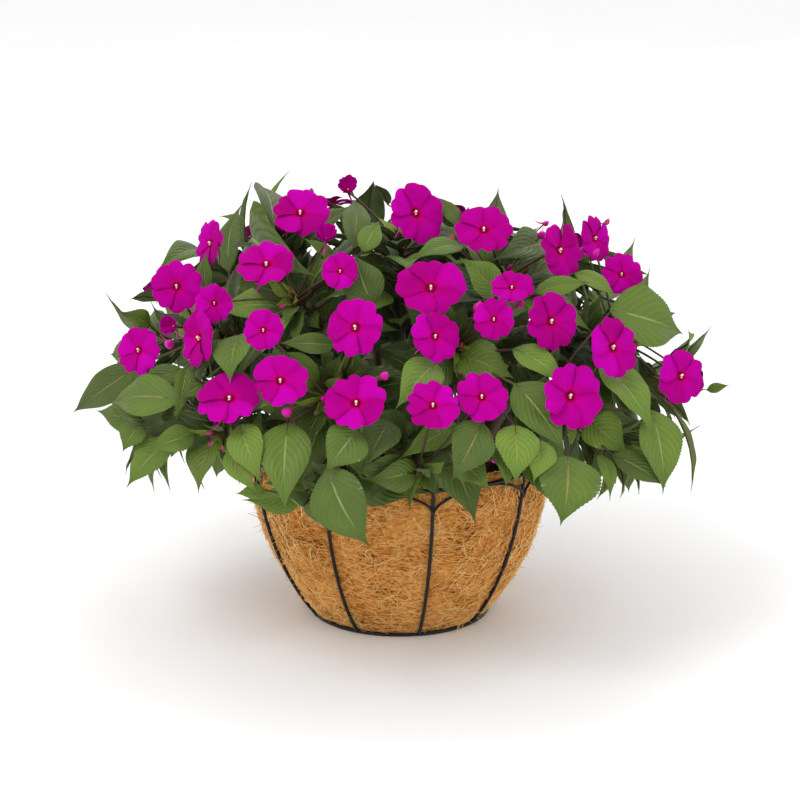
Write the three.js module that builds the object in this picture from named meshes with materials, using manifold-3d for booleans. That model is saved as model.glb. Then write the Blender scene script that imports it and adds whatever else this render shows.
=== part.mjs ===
// A New Guinea impatiens in full bloom, planted in a round wire basket with a coir liner.
// Millimetres, +Z up. The basket's axis is the Z axis, it stands on z = 0, and its show side faces -Y.
// An azimuth is measured round Z from -Y towards +X.
import * as THREE from 'three';
import { mergeVertices } from 'three/addons/utils/BufferGeometryUtils.js';
import Module from 'manifold-3d';

const wasm = await Module();
wasm.setup();

const degrees = THREE.MathUtils.degToRad;
const point = (x, y, z) => new THREE.Vector3(x, y, z);
const UP = point(0, 0, 1);

// Clearance between pieces that touch on the real plant
const GAP = 0.3;

// Basket: a 12 inch wire frame, nine uprights welded to a rim and to a flat bottom ring
const RING_RADIUS = 89.5;
const RIM_RADIUS = 153;
const RIM_HEIGHT = 170;
const UPRIGHTS = 9;
const FIRST_UPRIGHT = degrees(12);
const WIRE_RADIUS = 1.8;
const RING_STEPS = 27;
const UPRIGHT_STEPS = 4;

// Coir liner: a felt bowl that bulges out between the uprights
const LINER_THICKNESS = 9;
const LINER_TOP = 177;
const LINER_FLOOR = 10;
const LINER_STEPS = 27;
const LINER_BULGE = 5;
// How far the uprights stand clear of the felt that they press in
const PRESS = 0.9;

// Soil: fills the liner to a little under its top
const SOIL_TOP = 160;
const SOIL_STEPS = 18;
const ROOTING_DEPTH = 14;
const HOLE_CLEARANCE = 0.6;
const HOLE_RADIUS = 8;

// Foliage: a dome wider than the basket
const DOME_HALF_WIDTH = 310;
const DOME_HALF_HEIGHT = 235;
const DOME_CENTRE = point(0, 0, 200);

// The view that the show side is laid out for: places on it are millimetres across and up from the sight's centre
const SIGHT_CENTRE = point(0, 0, 218);
const SIGHT_ELEVATION = degrees(15.5);
const SIGHT_DISTANCE = 2600;

// Shoots: leafy stems spread over the dome by the golden angle
const STEMS = 27;
const GOLDEN_ANGLE = Math.PI * (3 - Math.sqrt(5));
const STEM_REACH = 0.8;
const STEM_LOWEST = 1.13;
const STEM_FOOT_RADIUS = 5.2;
const STEM_TIP_RADIUS = 2.6;
const STEM_STEPS = 4;

// Leaves
const LEAF_THICKNESS = 1.5;
const LEAF_FOLD = 0.2;
const LEAF_ARCH = 0.75;
const PETIOLE_RADIUS = 1.3;
const ROOT_TAPER = 0.5;
// One side of the toothed margin and the midrib: share of the length, share of the half width
const MARGIN = [[0.16, 0.74], [0.42, 1.05], [0.48, 0.88], [0.74, 0.54]];
const MIDRIB = [0.34, 0.66];
const SHOWN_ATTEMPTS = 16;
// A petiole runs with its blade: the millimetres that a turn against it is worth, and the least that it runs with it
const BACKWARD_COST = 45;
const LEAST_FORWARD = 0.1;
const WHORL_ATTEMPTS = 8;
const SHOOT_LEAVES = 8;
// How low a whorl's leaf hangs at most, as seen on the show side: up from the sight's centre
const FRINGE_LOWEST = -95;
// Rings of leaves up a shoot: place on the stem, leaves, length, width for length, angle to the stem, petiole
const WHORLS = [
  { at: 0.88, leaves: 4, length: 86, slim: 0.48, spread: 74, petiole: 15 },
  { at: 0.7, leaves: 3, length: 98, slim: 0.5, spread: 94, petiole: 20 },
  { at: 0.97, leaves: 3, length: 60, slim: 0.42, spread: 50, petiole: 9 },
];

// Blooms: five broad notched petals, each lying over the next
const PETALS = 5;
const BLOOM_CUP = 0.11;
const BLOOM_THICKNESS = 0.05;
const BLOOM_SWELL = 1.04;
const PEDICEL_RADIUS = 1.3;
const HIDDEN_BLOOMS_ROUND = 58;
const HIDDEN_BLOOM_SIZE = 48;
const BLOOM_ATTEMPTS = 8;
// Share of its direction that a bloom of the far side faces the front with, at most
const FAR_SIDE = -0.22;
// One petal's edge: angle from its middle in degrees, share of the radius, height for the radius
const PETAL_EDGE = [[-34, 0.8, -0.08], [-18, 1, -0.02], [0, 0.91, 0.03], [20, 1, 0.09]];

// Blooms on the show side: across, up, seen width, seen height
const SHOWN_BLOOMS = [
  [-100, 189, 54, 48], [-52, 211, 26, 24], [17, 188, 50, 58], [84, 172, 52, 48],
  [162, 150, 40, 55], [197, 162, 30, 45], [222, 126, 40, 40], [-192, 157, 26, 48],
  [-224, 114, 50, 50], [-186, 97, 36, 36], [-134, 138, 54, 42], [-74, 162, 28, 22],
  [-60, 129, 34, 34], [-137, 70, 38, 38], [-46, 73, 50, 56], [31, 114, 62, 56],
  [36, 64, 42, 46], [112, 114, 40, 32], [94, 81, 38, 38], [153, 79, 46, 56],
  [215, 53, 46, 56], [172, 4, 56, 62], [283, 24, 48, 54], [-120, 20, 50, 48],
  [-171, 4, 58, 42], [-44, -2, 54, 50], [33, -4, 48, 40], [82, 4, 46, 44],
  [-263, 50, 44, 48], [-227, 74, 22, 26], [-204, 62, 32, 58],
];

// Leaves that stand out on the show side, the nearest first: across and up of the foot, of the tip, seen width
const SHOWN_LEAVES = [
  [-72, -68, -28, -150, 54], [-112, -23, -115, -115, 46], [36, 37, -6, -11, 36], [59, -25, -4, -61, 26],
  [82, -22, 50, -84, 40], [187, -19, 230, -57, 40], [200, 35, 255, -40, 44], [250, -10, 263, -97, 44],
  [58, 44, 117, 20, 40], [-146, 164, -78, 120, 40], [-28, 95, -46, 148, 38], [-171, 128, -156, 199, 28],
  [145, 155, 89, 138, 40], [97, 105, 58, 144, 34], [-160, 65, -170, 14, 40], [-185, -40, -202, -95, 32],
  [-205, -35, -256, -51, 26], [-220, 0, -291, -4, 40], [-260, 35, -329, -14, 26], [-218, 31, -266, -2, 26],
  [-160, -25, -138, -87, 34], [-42, -30, -76, -74, 40], [-69, 8, -58, -25, 34], [-11, -21, -39, -72, 34],
  [17, -70, -38, -80, 30], [10, -51, 10, -112, 28], [43, -42, 77, -127, 46], [115, 16, 167, -56, 46],
  [167, -56, 160, -128, 60], [115, -25, 115, -87, 40], [186, -21, 199, -63, 24], [113, 51, 170, 10, 28],
  [200, -55, 210, -102, 18], [-260, -25, -278, -53, 26], [-230, -40, -275, -90, 32], [-135, -90, -165, -94, 14],
  [-170, 58, -212, 23, 22], [-150, -10, -108, -2, 18], [-65, 55, -125, 57, 20], [-46, 152, -46, 202, 26],
  [-37, 148, -20, 180, 22], [62, 154, 7, 138, 22], [135, 108, 192, 118, 18], [175, 127, 219, 101, 20],
  [210, 90, 285, 65, 60], [275, 50, 288, 71, 20], [307, 10, 330, 15, 10], [202, 148, 252, 124, 8],
  [-250, 75, -280, 89, 22], [-235, 100, -271, 100, 14], [-200, 150, -246, 127, 16], [-193, 108, -193, 150, 18],
  [-155, 175, -181, 184, 14], [-157, 160, -146, 194, 12], [-127, 174, -145, 214, 22], [-132, 185, -110, 230, 14],
  [-65, 139, -99, 163, 14], [-12, 195, -27, 216, 14], [59, 174, 35, 204, 14],
  [22, -60, 40, -99, 26], [135, -50, 158, -112, 38], [212, -55, 268, -88, 26],
  [-112, -3, -175, -27, 22], [-172, -50, -140, -97, 22], [272, -8, 291, -95, 12],
  [-213, 33, -225, -24, 12], [-198, 15, -221, 0, 14], [100, -44, 106, -90, 34],
  [140, -40, 133, -84, 30], [62, -62, 92, -92, 28], [140, -38, 156, -78, 26],
];

// A number from 0 to 1 that depends on its keys alone, so that each leaf has its own draws
function draw(...keys) {
  let mixed = 20261;
  for (const key of keys) {
    mixed = Math.imul(mixed ^ (key + 0x9e3779b9), 0x85ebca6b) >>> 0;
    mixed = (mixed ^ (mixed >>> 13)) >>> 0;
    mixed = Math.imul(mixed, 0xc2b2ae35) >>> 0;
    mixed = (mixed ^ (mixed >>> 16)) >>> 0;
  }
  return mixed / 4294967296;
}

const jitter = (range, ...keys) => range * (2 * draw(...keys) - 1);

const outward = (azimuth) => point(Math.sin(azimuth), -Math.cos(azimuth), 0);

// What is left of a direction once its share along another is taken off
function across(direction, along) {
  return direction.clone().addScaledVector(along, -direction.dot(along)).normalize();
}

// Solids

function meshGeometry(vertices, faces) {
  const geometry = new THREE.BufferGeometry();
  geometry.setAttribute('position', new THREE.Float32BufferAttribute(vertices.flatMap((v) => v.toArray()), 3));
  geometry.setIndex(faces.flat());
  return geometry;
}

// A closed solid whose faces point out, from any closed three.js geometry
function solid(geometry) {
  const bare = geometry.clone();
  bare.deleteAttribute('normal');
  bare.deleteAttribute('uv');
  const merged = mergeVertices(bare, 1e-3);
  const corners = merged.attributes.position.array;
  const faces = [];
  for (let i = 0; i < merged.index.count; i += 3) {
    const face = [merged.index.getX(i), merged.index.getX(i + 1), merged.index.getX(i + 2)];
    if (new Set(face).size === 3) faces.push(face);
  }
  const corner = (i) => point(corners[3 * i], corners[3 * i + 1], corners[3 * i + 2]);
  const volume = faces.reduce((sum, [a, b, c]) => sum + corner(a).dot(corner(b).cross(corner(c))), 0);
  const triVerts = new Uint32Array((volume < 0 ? faces.map(([a, b, c]) => [a, c, b]) : faces).flat());
  return new wasm.Manifold(new wasm.Mesh({ numProp: 3, vertProperties: new Float32Array(corners), triVerts }));
}

// Solids fused into one body; a hollow that this seals is filled
function joined(solids) {
  const bodies = solids.reduce((whole, next) => whole.add(next)).decompose();
  return bodies.reduce((largest, body) => (body.volume() > largest.volume() ? body : largest));
}

function geometryOf(whole) {
  const mesh = whole.getMesh();
  const geometry = new THREE.BufferGeometry();
  geometry.setAttribute('position', new THREE.BufferAttribute(Float32Array.from(mesh.vertProperties), 3));
  geometry.setIndex(new THREE.BufferAttribute(Uint32Array.from(mesh.triVerts), 1));
  return geometry;
}

// A tapering stalk with flat ends through a few points
function stalk(points, firstRadius, lastRadius, sides) {
  const vertices = [];
  const faces = [];
  const last = points.length - 1;
  const heading = points[last].clone().sub(points[0]).normalize();
  const start = across(Math.abs(heading.x) < 0.8 ? point(1, 0, 0) : point(0, 1, 0), heading);
  points.forEach((centre, step) => {
    const along = points[Math.min(step + 1, last)].clone().sub(points[Math.max(step - 1, 0)]).normalize();
    const side = across(start, along);
    const other = side.clone().cross(along);
    const radius = THREE.MathUtils.lerp(firstRadius, lastRadius, step / last);
    for (let k = 0; k < sides; k += 1) {
      const turn = (2 * Math.PI * k) / sides;
      vertices.push(centre.clone().addScaledVector(side, radius * Math.cos(turn))
        .addScaledVector(other, radius * Math.sin(turn)));
    }
  });
  for (let step = 0; step < last; step += 1) {
    for (let k = 0; k < sides; k += 1) {
      const a = step * sides + k;
      const b = step * sides + (k + 1) % sides;
      faces.push([a, b, b + sides], [a, b + sides, a + sides]);
    }
  }
  const top = last * sides;
  for (let k = 1; k < sides - 1; k += 1) {
    faces.push([0, k + 1, k], [top, top + k, top + k + 1]);
  }
  return meshGeometry(vertices, faces);
}

// Places

// The outward normal of the foliage dome at a place in or on it
function domeNormal(place) {
  const offset = place.clone().sub(DOME_CENTRE);
  return offset.divide(point(DOME_HALF_WIDTH ** 2, DOME_HALF_WIDTH ** 2, DOME_HALF_HEIGHT ** 2)).normalize();
}

const SIGHT_UP = point(0, Math.sin(SIGHT_ELEVATION), Math.cos(SIGHT_ELEVATION));
const TO_EYE = point(0, -Math.cos(SIGHT_ELEVATION), Math.sin(SIGHT_ELEVATION));
const EYE = SIGHT_CENTRE.clone().addScaledVector(TO_EYE, SIGHT_DISTANCE);

// The place on the near side of the dome, swollen or shrunk, that is seen at this place on the show side
function seenAt(right, up, swell) {
  const aim = SIGHT_CENTRE.clone().addScaledVector(SIGHT_UP, up).add(point(right, 0, 0));
  const ray = aim.sub(EYE).normalize();
  const size = point(DOME_HALF_WIDTH, DOME_HALF_WIDTH, DOME_HALF_HEIGHT).multiplyScalar(swell);
  const from = EYE.clone().sub(DOME_CENTRE).divide(size);
  const slope = ray.clone().divide(size);
  const a = slope.dot(slope);
  const b = from.dot(slope);
  const c = from.dot(from) - 1;
  const travel = (-b - Math.sqrt(Math.max(b * b - a * c, 0))) / a;
  return EYE.clone().addScaledVector(ray, travel);
}

// Basket

// The side's line from the bottom ring to the rim, as radius and height
const SIDE_ENDS = [[RING_RADIUS, WIRE_RADIUS], [108, 22], [146, 80], [RIM_RADIUS, RIM_HEIGHT]];
const SIDE_LINE = new THREE.CubicBezierCurve(...SIDE_ENDS.map(([radius, height]) => new THREE.Vector2(radius, height)));
const SIDE_POINTS = SIDE_LINE.getSpacedPoints(UPRIGHT_STEPS);
const UPRIGHT_PITCH = (2 * Math.PI) / UPRIGHTS;
// A point of the liner's profile, pressed in from the side's line
const pressed = (radius, height, depth) => new THREE.Vector2(radius - WIRE_RADIUS - PRESS - depth, height);

// The liner's inside from its rim to its floor
const LINER_INSIDE = [
  pressed(RIM_RADIUS, LINER_TOP, LINER_THICKNESS),
  pressed(SIDE_POINTS[2].x, SIDE_POINTS[2].y, LINER_THICKNESS),
  pressed(SIDE_POINTS[1].x, SIDE_POINTS[1].y, LINER_THICKNESS),
  new THREE.Vector2(RING_RADIUS - LINER_THICKNESS, LINER_FLOOR),
];

// Radius of the liner's inside at a height
function insideRadius(height) {
  const under = LINER_INSIDE.findIndex(({ y }) => y <= height);
  const [high, low] = [LINER_INSIDE[Math.max(under - 1, 0)], LINER_INSIDE[Math.max(under, 1)]];
  return THREE.MathUtils.mapLinear(height, low.y, high.y, low.x, high.x);
}

// A lathe about Z whose profile is radius and height
function turned(profile, steps) {
  const geometry = new THREE.LatheGeometry(profile, steps, FIRST_UPRIGHT);
  return geometry.rotateX(Math.PI / 2);
}

// A ring of round wire, flat where it stands on the ground
function wireRing(radius, height, wireRadius, sides) {
  const profile = [];
  const corner = wireRadius / Math.cos(Math.PI / sides);
  for (let k = 0; k <= sides; k += 1) {
    const turn = (2 * Math.PI * (k + 0.5)) / sides;
    profile.push(new THREE.Vector2(radius + corner * Math.sin(turn), height - corner * Math.cos(turn)));
  }
  return turned(profile, RING_STEPS);
}

function wireSection(radius, sides) {
  const section = new THREE.Shape();
  for (let k = 0; k < sides; k += 1) {
    const turn = (2 * Math.PI * (k + 0.5)) / sides;
    const x = radius * Math.cos(turn);
    const y = radius * Math.sin(turn);
    if (k === 0) section.moveTo(x, y);
    else section.lineTo(x, y);
  }
  section.closePath();
  return section;
}

function upright(azimuth) {
  const places = SIDE_ENDS.map(([radius, height]) => outward(azimuth).multiplyScalar(radius).setZ(height));
  const path = new THREE.CubicBezierCurve3(...places);
  const settings = { steps: UPRIGHT_STEPS, extrudePath: path, bevelEnabled: false };
  return new THREE.ExtrudeGeometry(wireSection(WIRE_RADIUS - 0.1, 4), settings);
}

function wireFrame() {
  const parts = [
    wireRing(RING_RADIUS, WIRE_RADIUS, WIRE_RADIUS, 6),
    wireRing(RIM_RADIUS, RIM_HEIGHT, WIRE_RADIUS + 0.4, 4),
  ];
  for (let k = 0; k < UPRIGHTS; k += 1) parts.push(upright(FIRST_UPRIGHT + k * UPRIGHT_PITCH));
  return joined(parts.map(solid));
}

function coirLiner() {
  const foot = RING_RADIUS - WIRE_RADIUS - PRESS - GAP;
  const [, ...above] = SIDE_POINTS;
  const profile = [
    new THREE.Vector2(0, 0),
    new THREE.Vector2(foot, 0),
    new THREE.Vector2(foot, 2 * WIRE_RADIUS + PRESS),
    ...above.slice(0, -1).map(({ x, y }) => pressed(x, y, 0)),
    pressed(RIM_RADIUS, LINER_TOP, 0),
    ...LINER_INSIDE,
    new THREE.Vector2(0, LINER_FLOOR),
  ];
  const geometry = turned(profile, LINER_STEPS);
  const place = geometry.attributes.position;
  for (let i = 0; i < place.count; i += 1) {
    const height = place.getZ(i);
    const radius = Math.hypot(place.getX(i), place.getY(i));
    if (height > LINER_FLOOR && height < RIM_HEIGHT && radius > insideRadius(height) + LINER_THICKNESS / 2) {
      const azimuth = Math.atan2(place.getX(i), -place.getY(i));
      const between = 0.5 - 0.5 * Math.cos(UPRIGHTS * (azimuth - FIRST_UPRIGHT));
      const grown = 1 + (LINER_BULGE * between) / radius;
      place.setXY(i, place.getX(i) * grown, place.getY(i) * grown);
    }
  }
  return solid(geometry);
}

const STEM_PATHS = Array.from({ length: STEMS }, (_, stem) => stemPath(stem));

// A point of a shoot's axis, on the straight lengths that its solid has
function onStem(stem, at) {
  const step = Math.min(Math.floor(at * STEM_STEPS), STEM_STEPS - 1);
  const [low, high] = [step, step + 1].map((k) => STEM_PATHS[stem].getPoint(k / STEM_STEPS));
  return low.lerp(high, at * STEM_STEPS - step);
}

// A shoot's line from its foot in the soil up and out to its tip inside the dome
function stemPath(stem) {
  const polar = Math.acos(1 - (STEM_LOWEST * (stem + 0.5)) / STEMS);
  const azimuth = stem * GOLDEN_ANGLE + jitter(0.12, 1, stem);
  const reach = STEM_REACH * (1 + jitter(0.05, 2, stem));
  const tip = outward(azimuth).multiplyScalar(DOME_HALF_WIDTH * reach * Math.sin(polar));
  tip.setZ(DOME_CENTRE.z + DOME_HALF_HEIGHT * reach * Math.cos(polar));
  const foot = outward(azimuth).multiplyScalar(14 + 94 * Math.sin(polar));
  foot.setZ(SOIL_TOP - ROOTING_DEPTH);
  const bend = foot.clone().lerp(tip, 0.4);
  bend.setZ(foot.z + 0.75 * (tip.z - foot.z) + 80 * Math.sin(polar) ** 2);
  return new THREE.QuadraticBezierCurve3(foot, bend, tip);
}

function stemSolid(stem, extra) {
  const points = STEM_PATHS[stem].getPoints(STEM_STEPS);
  return stalk(points, STEM_FOOT_RADIUS + extra, STEM_TIP_RADIUS + extra, 4);
}

// The soil's shape inside the liner, with a plain hole round each stem's foot
function soil() {
  const facet = Math.cos(Math.PI / LINER_STEPS);
  const inside = (height) => new THREE.Vector2((insideRadius(height) - GAP) * facet, height);
  const profile = [
    new THREE.Vector2(0, LINER_FLOOR + GAP),
    inside(LINER_FLOOR + GAP),
    inside(SIDE_POINTS[1].y),
    inside(SIDE_POINTS[2].y),
    inside(SOIL_TOP),
    new THREE.Vector2(0, SOIL_TOP),
  ];
  const bed = solid(turned(profile, SOIL_STEPS));
  const holes = STEM_PATHS.map((path) => {
    const [foot, next] = path.getPoints(STEM_STEPS);
    const under = foot.clone().lerp(next, -HOLE_CLEARANCE / foot.distanceTo(next));
    return solid(stalk([under, next], HOLE_RADIUS, HOLE_RADIUS, 4));
  });
  return holes.reduce((left, hole) => left.subtract(hole), bed);
}

// Leaves

// A leaf is its root on the stem, the foot of its blade, the blade's heading and upper side, length and width
function leafFrame(leaf) {
  const side = leaf.heading.clone().cross(leaf.face).normalize();
  return (along, sideways, lift) => {
    const lean = LEAF_ARCH * (0.5 - along);
    const forward = (leaf.length * (Math.sin(LEAF_ARCH / 2) - Math.sin(lean))) / LEAF_ARCH;
    const rise = (leaf.length * (Math.cos(lean) - Math.cos(LEAF_ARCH / 2))) / LEAF_ARCH;
    const height = lift + LEAF_FOLD * Math.abs(sideways);
    return leaf.foot.clone()
      .addScaledVector(leaf.heading, forward - height * Math.sin(lean))
      .addScaledVector(leaf.face, rise + height * Math.cos(lean))
      .addScaledVector(side, sideways);
  };
}

// The first seven faces are the petiole's
function leafGeometry(leaf, extra) {
  const at = leafFrame(leaf);
  const half = leaf.width / 2 + extra;
  const thick = LEAF_THICKNESS / 2 + extra;
  const stalkRadius = PETIOLE_RADIUS + extra;
  const side = leaf.heading.clone().cross(leaf.face).normalize();
  const along = leaf.foot.clone().sub(leaf.root).normalize();
  const rootSide = across(side, along);
  const rootDown = rootSide.clone().cross(along).multiplyScalar(-1);
  const vertices = [
    leaf.root.clone().addScaledVector(rootSide, -ROOT_TAPER * stalkRadius),
    leaf.root.clone().addScaledVector(rootSide, ROOT_TAPER * stalkRadius),
    leaf.root.clone().addScaledVector(rootDown, 1.5 * ROOT_TAPER * stalkRadius),
    at(0, -stalkRadius, 0),
    at(0, stalkRadius, 0),
    at(0, 0, -1.5 * stalkRadius),
    ...MARGIN.map(([u, v]) => at(u, -v * half, 0)),
    ...MARGIN.map(([u, v]) => at(u, v * half, 0)),
    ...MIDRIB.map((u) => at(u, 0, thick)),
    ...MIDRIB.map((u) => at(u, 0, -thick)),
    at(1 + extra / leaf.length, 0, 0),
  ];
  const left = 6;
  const right = left + MARGIN.length;
  const top = right + MARGIN.length;
  const bottom = top + MIDRIB.length;
  const tip = bottom + MIDRIB.length;
  const faces = [[0, 2, 1], [0, 1, 4], [0, 4, 3], [1, 2, 5], [1, 5, 4], [2, 0, 3], [2, 3, 5]];
  faces.push([3, 4, top], [3, bottom, 5], [5, bottom, 4]);
  const halfBlade = (start, edge, rib) => [
    [start, rib, edge], [edge, rib, edge + 1], [edge + 1, rib, edge + 2], [edge + 2, rib, rib + 1],
    [edge + 2, rib + 1, edge + 3], [edge + 3, rib + 1, tip],
  ];
  const flipped = (list) => list.map(([a, b, c]) => [a, c, b]);
  faces.push(...halfBlade(3, left, top), ...flipped(halfBlade(4, right, top)));
  faces.push(...flipped(halfBlade(3, left, bottom)), ...halfBlade(4, right, bottom));
  return meshGeometry(vertices, faces);
}

// The stem point that a leaf seen from the front grows from best: near its foot and behind it
function rootFor(foot, heading) {
  let best = { cost: Infinity };
  STEM_PATHS.forEach((_, stem) => {
    for (let at = 0.5; at < 0.985; at += 0.04) {
      const root = onStem(stem, at);
      const away = foot.clone().sub(root);
      const distance = away.length();
      const cost = distance + BACKWARD_COST * (1 - away.dot(heading) / distance);
      if (cost < best.cost) best = { cost, stem, root };
    }
  });
  return best;
}

// A leaf of the show side, pushed further into the dome with each attempt
function shownLeaf(index, attempt) {
  const [footAcross, footUp, tipAcross, tipUp, seenWidth] = SHOWN_LEAVES[index];
  const layer = 1.03 - 0.035 * Math.floor(attempt / 2);
  const foot = seenAt(footAcross, footUp, layer - 0.05 - 0.07 * (attempt % 2));
  const tip = seenAt(tipAcross, tipUp, layer);
  const heading = tip.clone().sub(foot).normalize();
  const length = tip.distanceTo(foot);
  const width = Math.max(seenWidth, 0.3 * length);
  const roll = Math.acos(seenWidth / width) * (draw(3, index) < 0.5 ? -1 : 1) + jitter(0.25, 4, index, attempt);
  const facing = domeNormal(foot).multiplyScalar(0.6).addScaledVector(TO_EYE, 0.4);
  const face = across(facing, heading).applyAxisAngle(heading, roll);
  const { stem, root } = rootFor(foot, heading);
  return { stem, root, foot, heading, face, length, width };
}

// A leaf of a whorl on a shoot; each attempt turns it and makes it smaller
function whorlLeaf(stem, whorl, place, attempt) {
  const { at, leaves, length, slim, spread, petiole } = WHORLS[whorl];
  const keys = [5 + whorl, stem, place];
  const along = STEM_PATHS[stem].getTangent(at);
  const root = onStem(stem, Math.min(at + jitter(0.02, ...keys, 1), 0.985));
  const away = across(domeNormal(root), along);
  const turn = ((place + 0.5 * whorl) / leaves) * 2 * Math.PI + jitter(0.35, ...keys, 2)
    + attempt * 0.22 * (draw(...keys, 3) < 0.5 ? -1 : 1);
  const sideways = away.applyAxisAngle(along, turn);
  const angle = degrees(spread) + jitter(0.2, ...keys, 4, attempt);
  const heading = along.clone().multiplyScalar(Math.cos(angle)).addScaledVector(sideways, Math.sin(angle));
  heading.addScaledVector(domeNormal(root), 0.25).addScaledVector(UP, -0.3).normalize();
  const facing = along.clone().addScaledVector(domeNormal(root), 0.8).addScaledVector(UP, 0.3);
  const face = across(facing, heading).applyAxisAngle(heading, jitter(0.35, ...keys, 5, attempt));
  const foot = root.clone().addScaledVector(heading, petiole).addScaledVector(along, 0.25 * petiole);
  const size = length * (1 + jitter(0.14, ...keys, 6)) * (1 - 0.06 * attempt);
  return { stem, root, foot, heading, face, length: size, width: slim * size };
}

// Whether a leaf's tip would hang down over the basket's show side
function hangsLow(leaf) {
  return leafFrame(leaf)(1, 0, 0).sub(SIGHT_CENTRE).dot(SIGHT_UP) < FRINGE_LOWEST;
}

// Blooms

// A bloom is its centre, the way it faces, its spin, its radius and the hub on the shoot's tip that it grows from
function bloom(centre, facing, radius, keys) {
  let hub = { distance: Infinity };
  STEM_PATHS.forEach((path, stem) => {
    const distance = path.getPoint(1).distanceTo(centre);
    if (distance < hub.distance) hub = { distance, stem };
  });
  return { stem: hub.stem, centre, facing: facing.normalize(), radius, spin: draw(8, ...keys) * 2 * Math.PI };
}

function shownBloom(index, attempt) {
  const [right, up, wide, high] = SHOWN_BLOOMS[index];
  const size = Math.max(wide, high);
  const swell = BLOOM_SWELL + 0.025 * Math.ceil(attempt / 2) * (attempt % 2 ? -1 : 1);
  const centre = seenAt(right, up, swell);
  const facing = TO_EYE.clone().addScaledVector(domeNormal(centre), 0.25);
  facing.addScaledVector(point(Math.sign(right), 0, 0), Math.tan(Math.acos(wide / size)));
  facing.addScaledVector(SIGHT_UP, Math.tan(Math.acos(high / size)));
  return bloom(centre, facing, size / 2, [index]);
}

// Blooms on the sides and back that the show side doesn't show
function hiddenBloom(index, attempt) {
  const polar = Math.acos(1 - (1.05 * (index + 0.5)) / HIDDEN_BLOOMS_ROUND);
  const azimuth = index * GOLDEN_ANGLE + 1.3;
  const reach = BLOOM_SWELL + 0.025 * Math.ceil(attempt / 2) * (attempt % 2 ? -1 : 1);
  const centre = outward(azimuth).multiplyScalar(DOME_HALF_WIDTH * reach * Math.sin(polar));
  centre.setZ(DOME_CENTRE.z + DOME_HALF_HEIGHT * reach * Math.cos(polar));
  const facing = domeNormal(centre).add(point(jitter(0.3, 9, index), jitter(0.3, 10, index), 0.25));
  return bloom(centre, facing, (HIDDEN_BLOOM_SIZE / 2) * (1 + jitter(0.16, 11, index)), [index, 1]);
}

const isHidden = (flower) => domeNormal(flower.centre).dot(TO_EYE) < FAR_SIDE;

// Where a spray's pedicels start, just clear of its shoot's tip
function hubPlace(stem) {
  const path = STEM_PATHS[stem];
  return path.getPoint(1).addScaledVector(path.getTangent(1), GAP + 2.4);
}

// The pedicel's line, bowed out of the dome
function pedicelPath(flower) {
  const hub = hubPlace(flower.stem);
  const back = flower.centre.clone().addScaledVector(flower.facing, -(BLOOM_CUP + BLOOM_THICKNESS) * flower.radius * 2);
  const middle = hub.clone().lerp(back, 0.5);
  middle.addScaledVector(domeNormal(middle), 0.12 * hub.distanceTo(back)).addScaledVector(flower.facing, -6);
  return new THREE.QuadraticBezierCurve3(hub, middle, back);
}

// Petals in a shallow bowl on a pedicel of two straight lengths
function bloomGeometry(flower, extra) {
  const { centre, facing, radius, spin } = flower;
  const side = across(Math.abs(facing.z) < 0.9 ? UP : point(1, 0, 0), facing);
  const other = facing.clone().cross(side);
  const at = (turn, reach, height) => centre.clone()
    .addScaledVector(side, reach * Math.cos(turn))
    .addScaledVector(other, reach * Math.sin(turn))
    .addScaledVector(facing, height);
  const vertices = [];
  for (let petal = 0; petal < PETALS; petal += 1) {
    for (const [angle, reach, height] of PETAL_EDGE) {
      const turn = spin + (2 * Math.PI * petal) / PETALS + degrees(angle);
      vertices.push(at(turn, reach * radius + extra, height * radius));
    }
  }
  const edge = vertices.length;
  const eye = edge;
  vertices.push(at(0, 0, -2 * BLOOM_CUP * radius + extra));
  const path = pedicelPath(flower);
  const [hub, middle, back] = [0, 0.5, 1].map((t) => path.getPoint(t));
  const sections = [back.addScaledVector(facing, -extra), middle, hub];
  const stalkSides = 3;
  const start = across(side, path.getTangent(0.5));
  const cross = path.getTangent(0.5).cross(start);
  sections.forEach((place, step) => {
    const [a, b] = step === 0 ? [side, other] : [start, cross.dot(other) < 0 ? cross.clone().negate() : cross];
    for (let k = 0; k < stalkSides; k += 1) {
      const turn = spin + (2 * Math.PI * k) / stalkSides;
      const reach = (PEDICEL_RADIUS + extra) * (step === 0 ? 1.6 : 1);
      vertices.push(place.clone().addScaledVector(a, reach * Math.cos(turn)).addScaledVector(b, reach * Math.sin(turn)));
    }
  });
  const faces = [];
  const ring = eye + 1;
  for (let k = 0; k < edge; k += 1) faces.push([eye, k, (k + 1) % edge]);
  // The underside runs from the petals' edge to the first ring of the pedicel
  const owner = (k) => ring + (Math.floor((k * stalkSides) / edge) % stalkSides);
  for (let k = 0; k < edge; k += 1) {
    const next = (k + 1) % edge;
    faces.push([owner(k), next, k]);
    if (owner(next) !== owner(k)) faces.push([owner(k), owner(next), next]);
  }
  for (let step = 0; step < 2; step += 1) {
    for (let k = 0; k < stalkSides; k += 1) {
      const a = ring + step * stalkSides + k;
      const b = ring + step * stalkSides + (k + 1) % stalkSides;
      faces.push([a, b + stalkSides, b], [a, a + stalkSides, b + stalkSides]);
    }
  }
  const end = ring + 2 * stalkSides;
  faces.push([end, end + 2, end + 1]);
  return meshGeometry(vertices, faces);
}

// Keeping pieces apart

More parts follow.
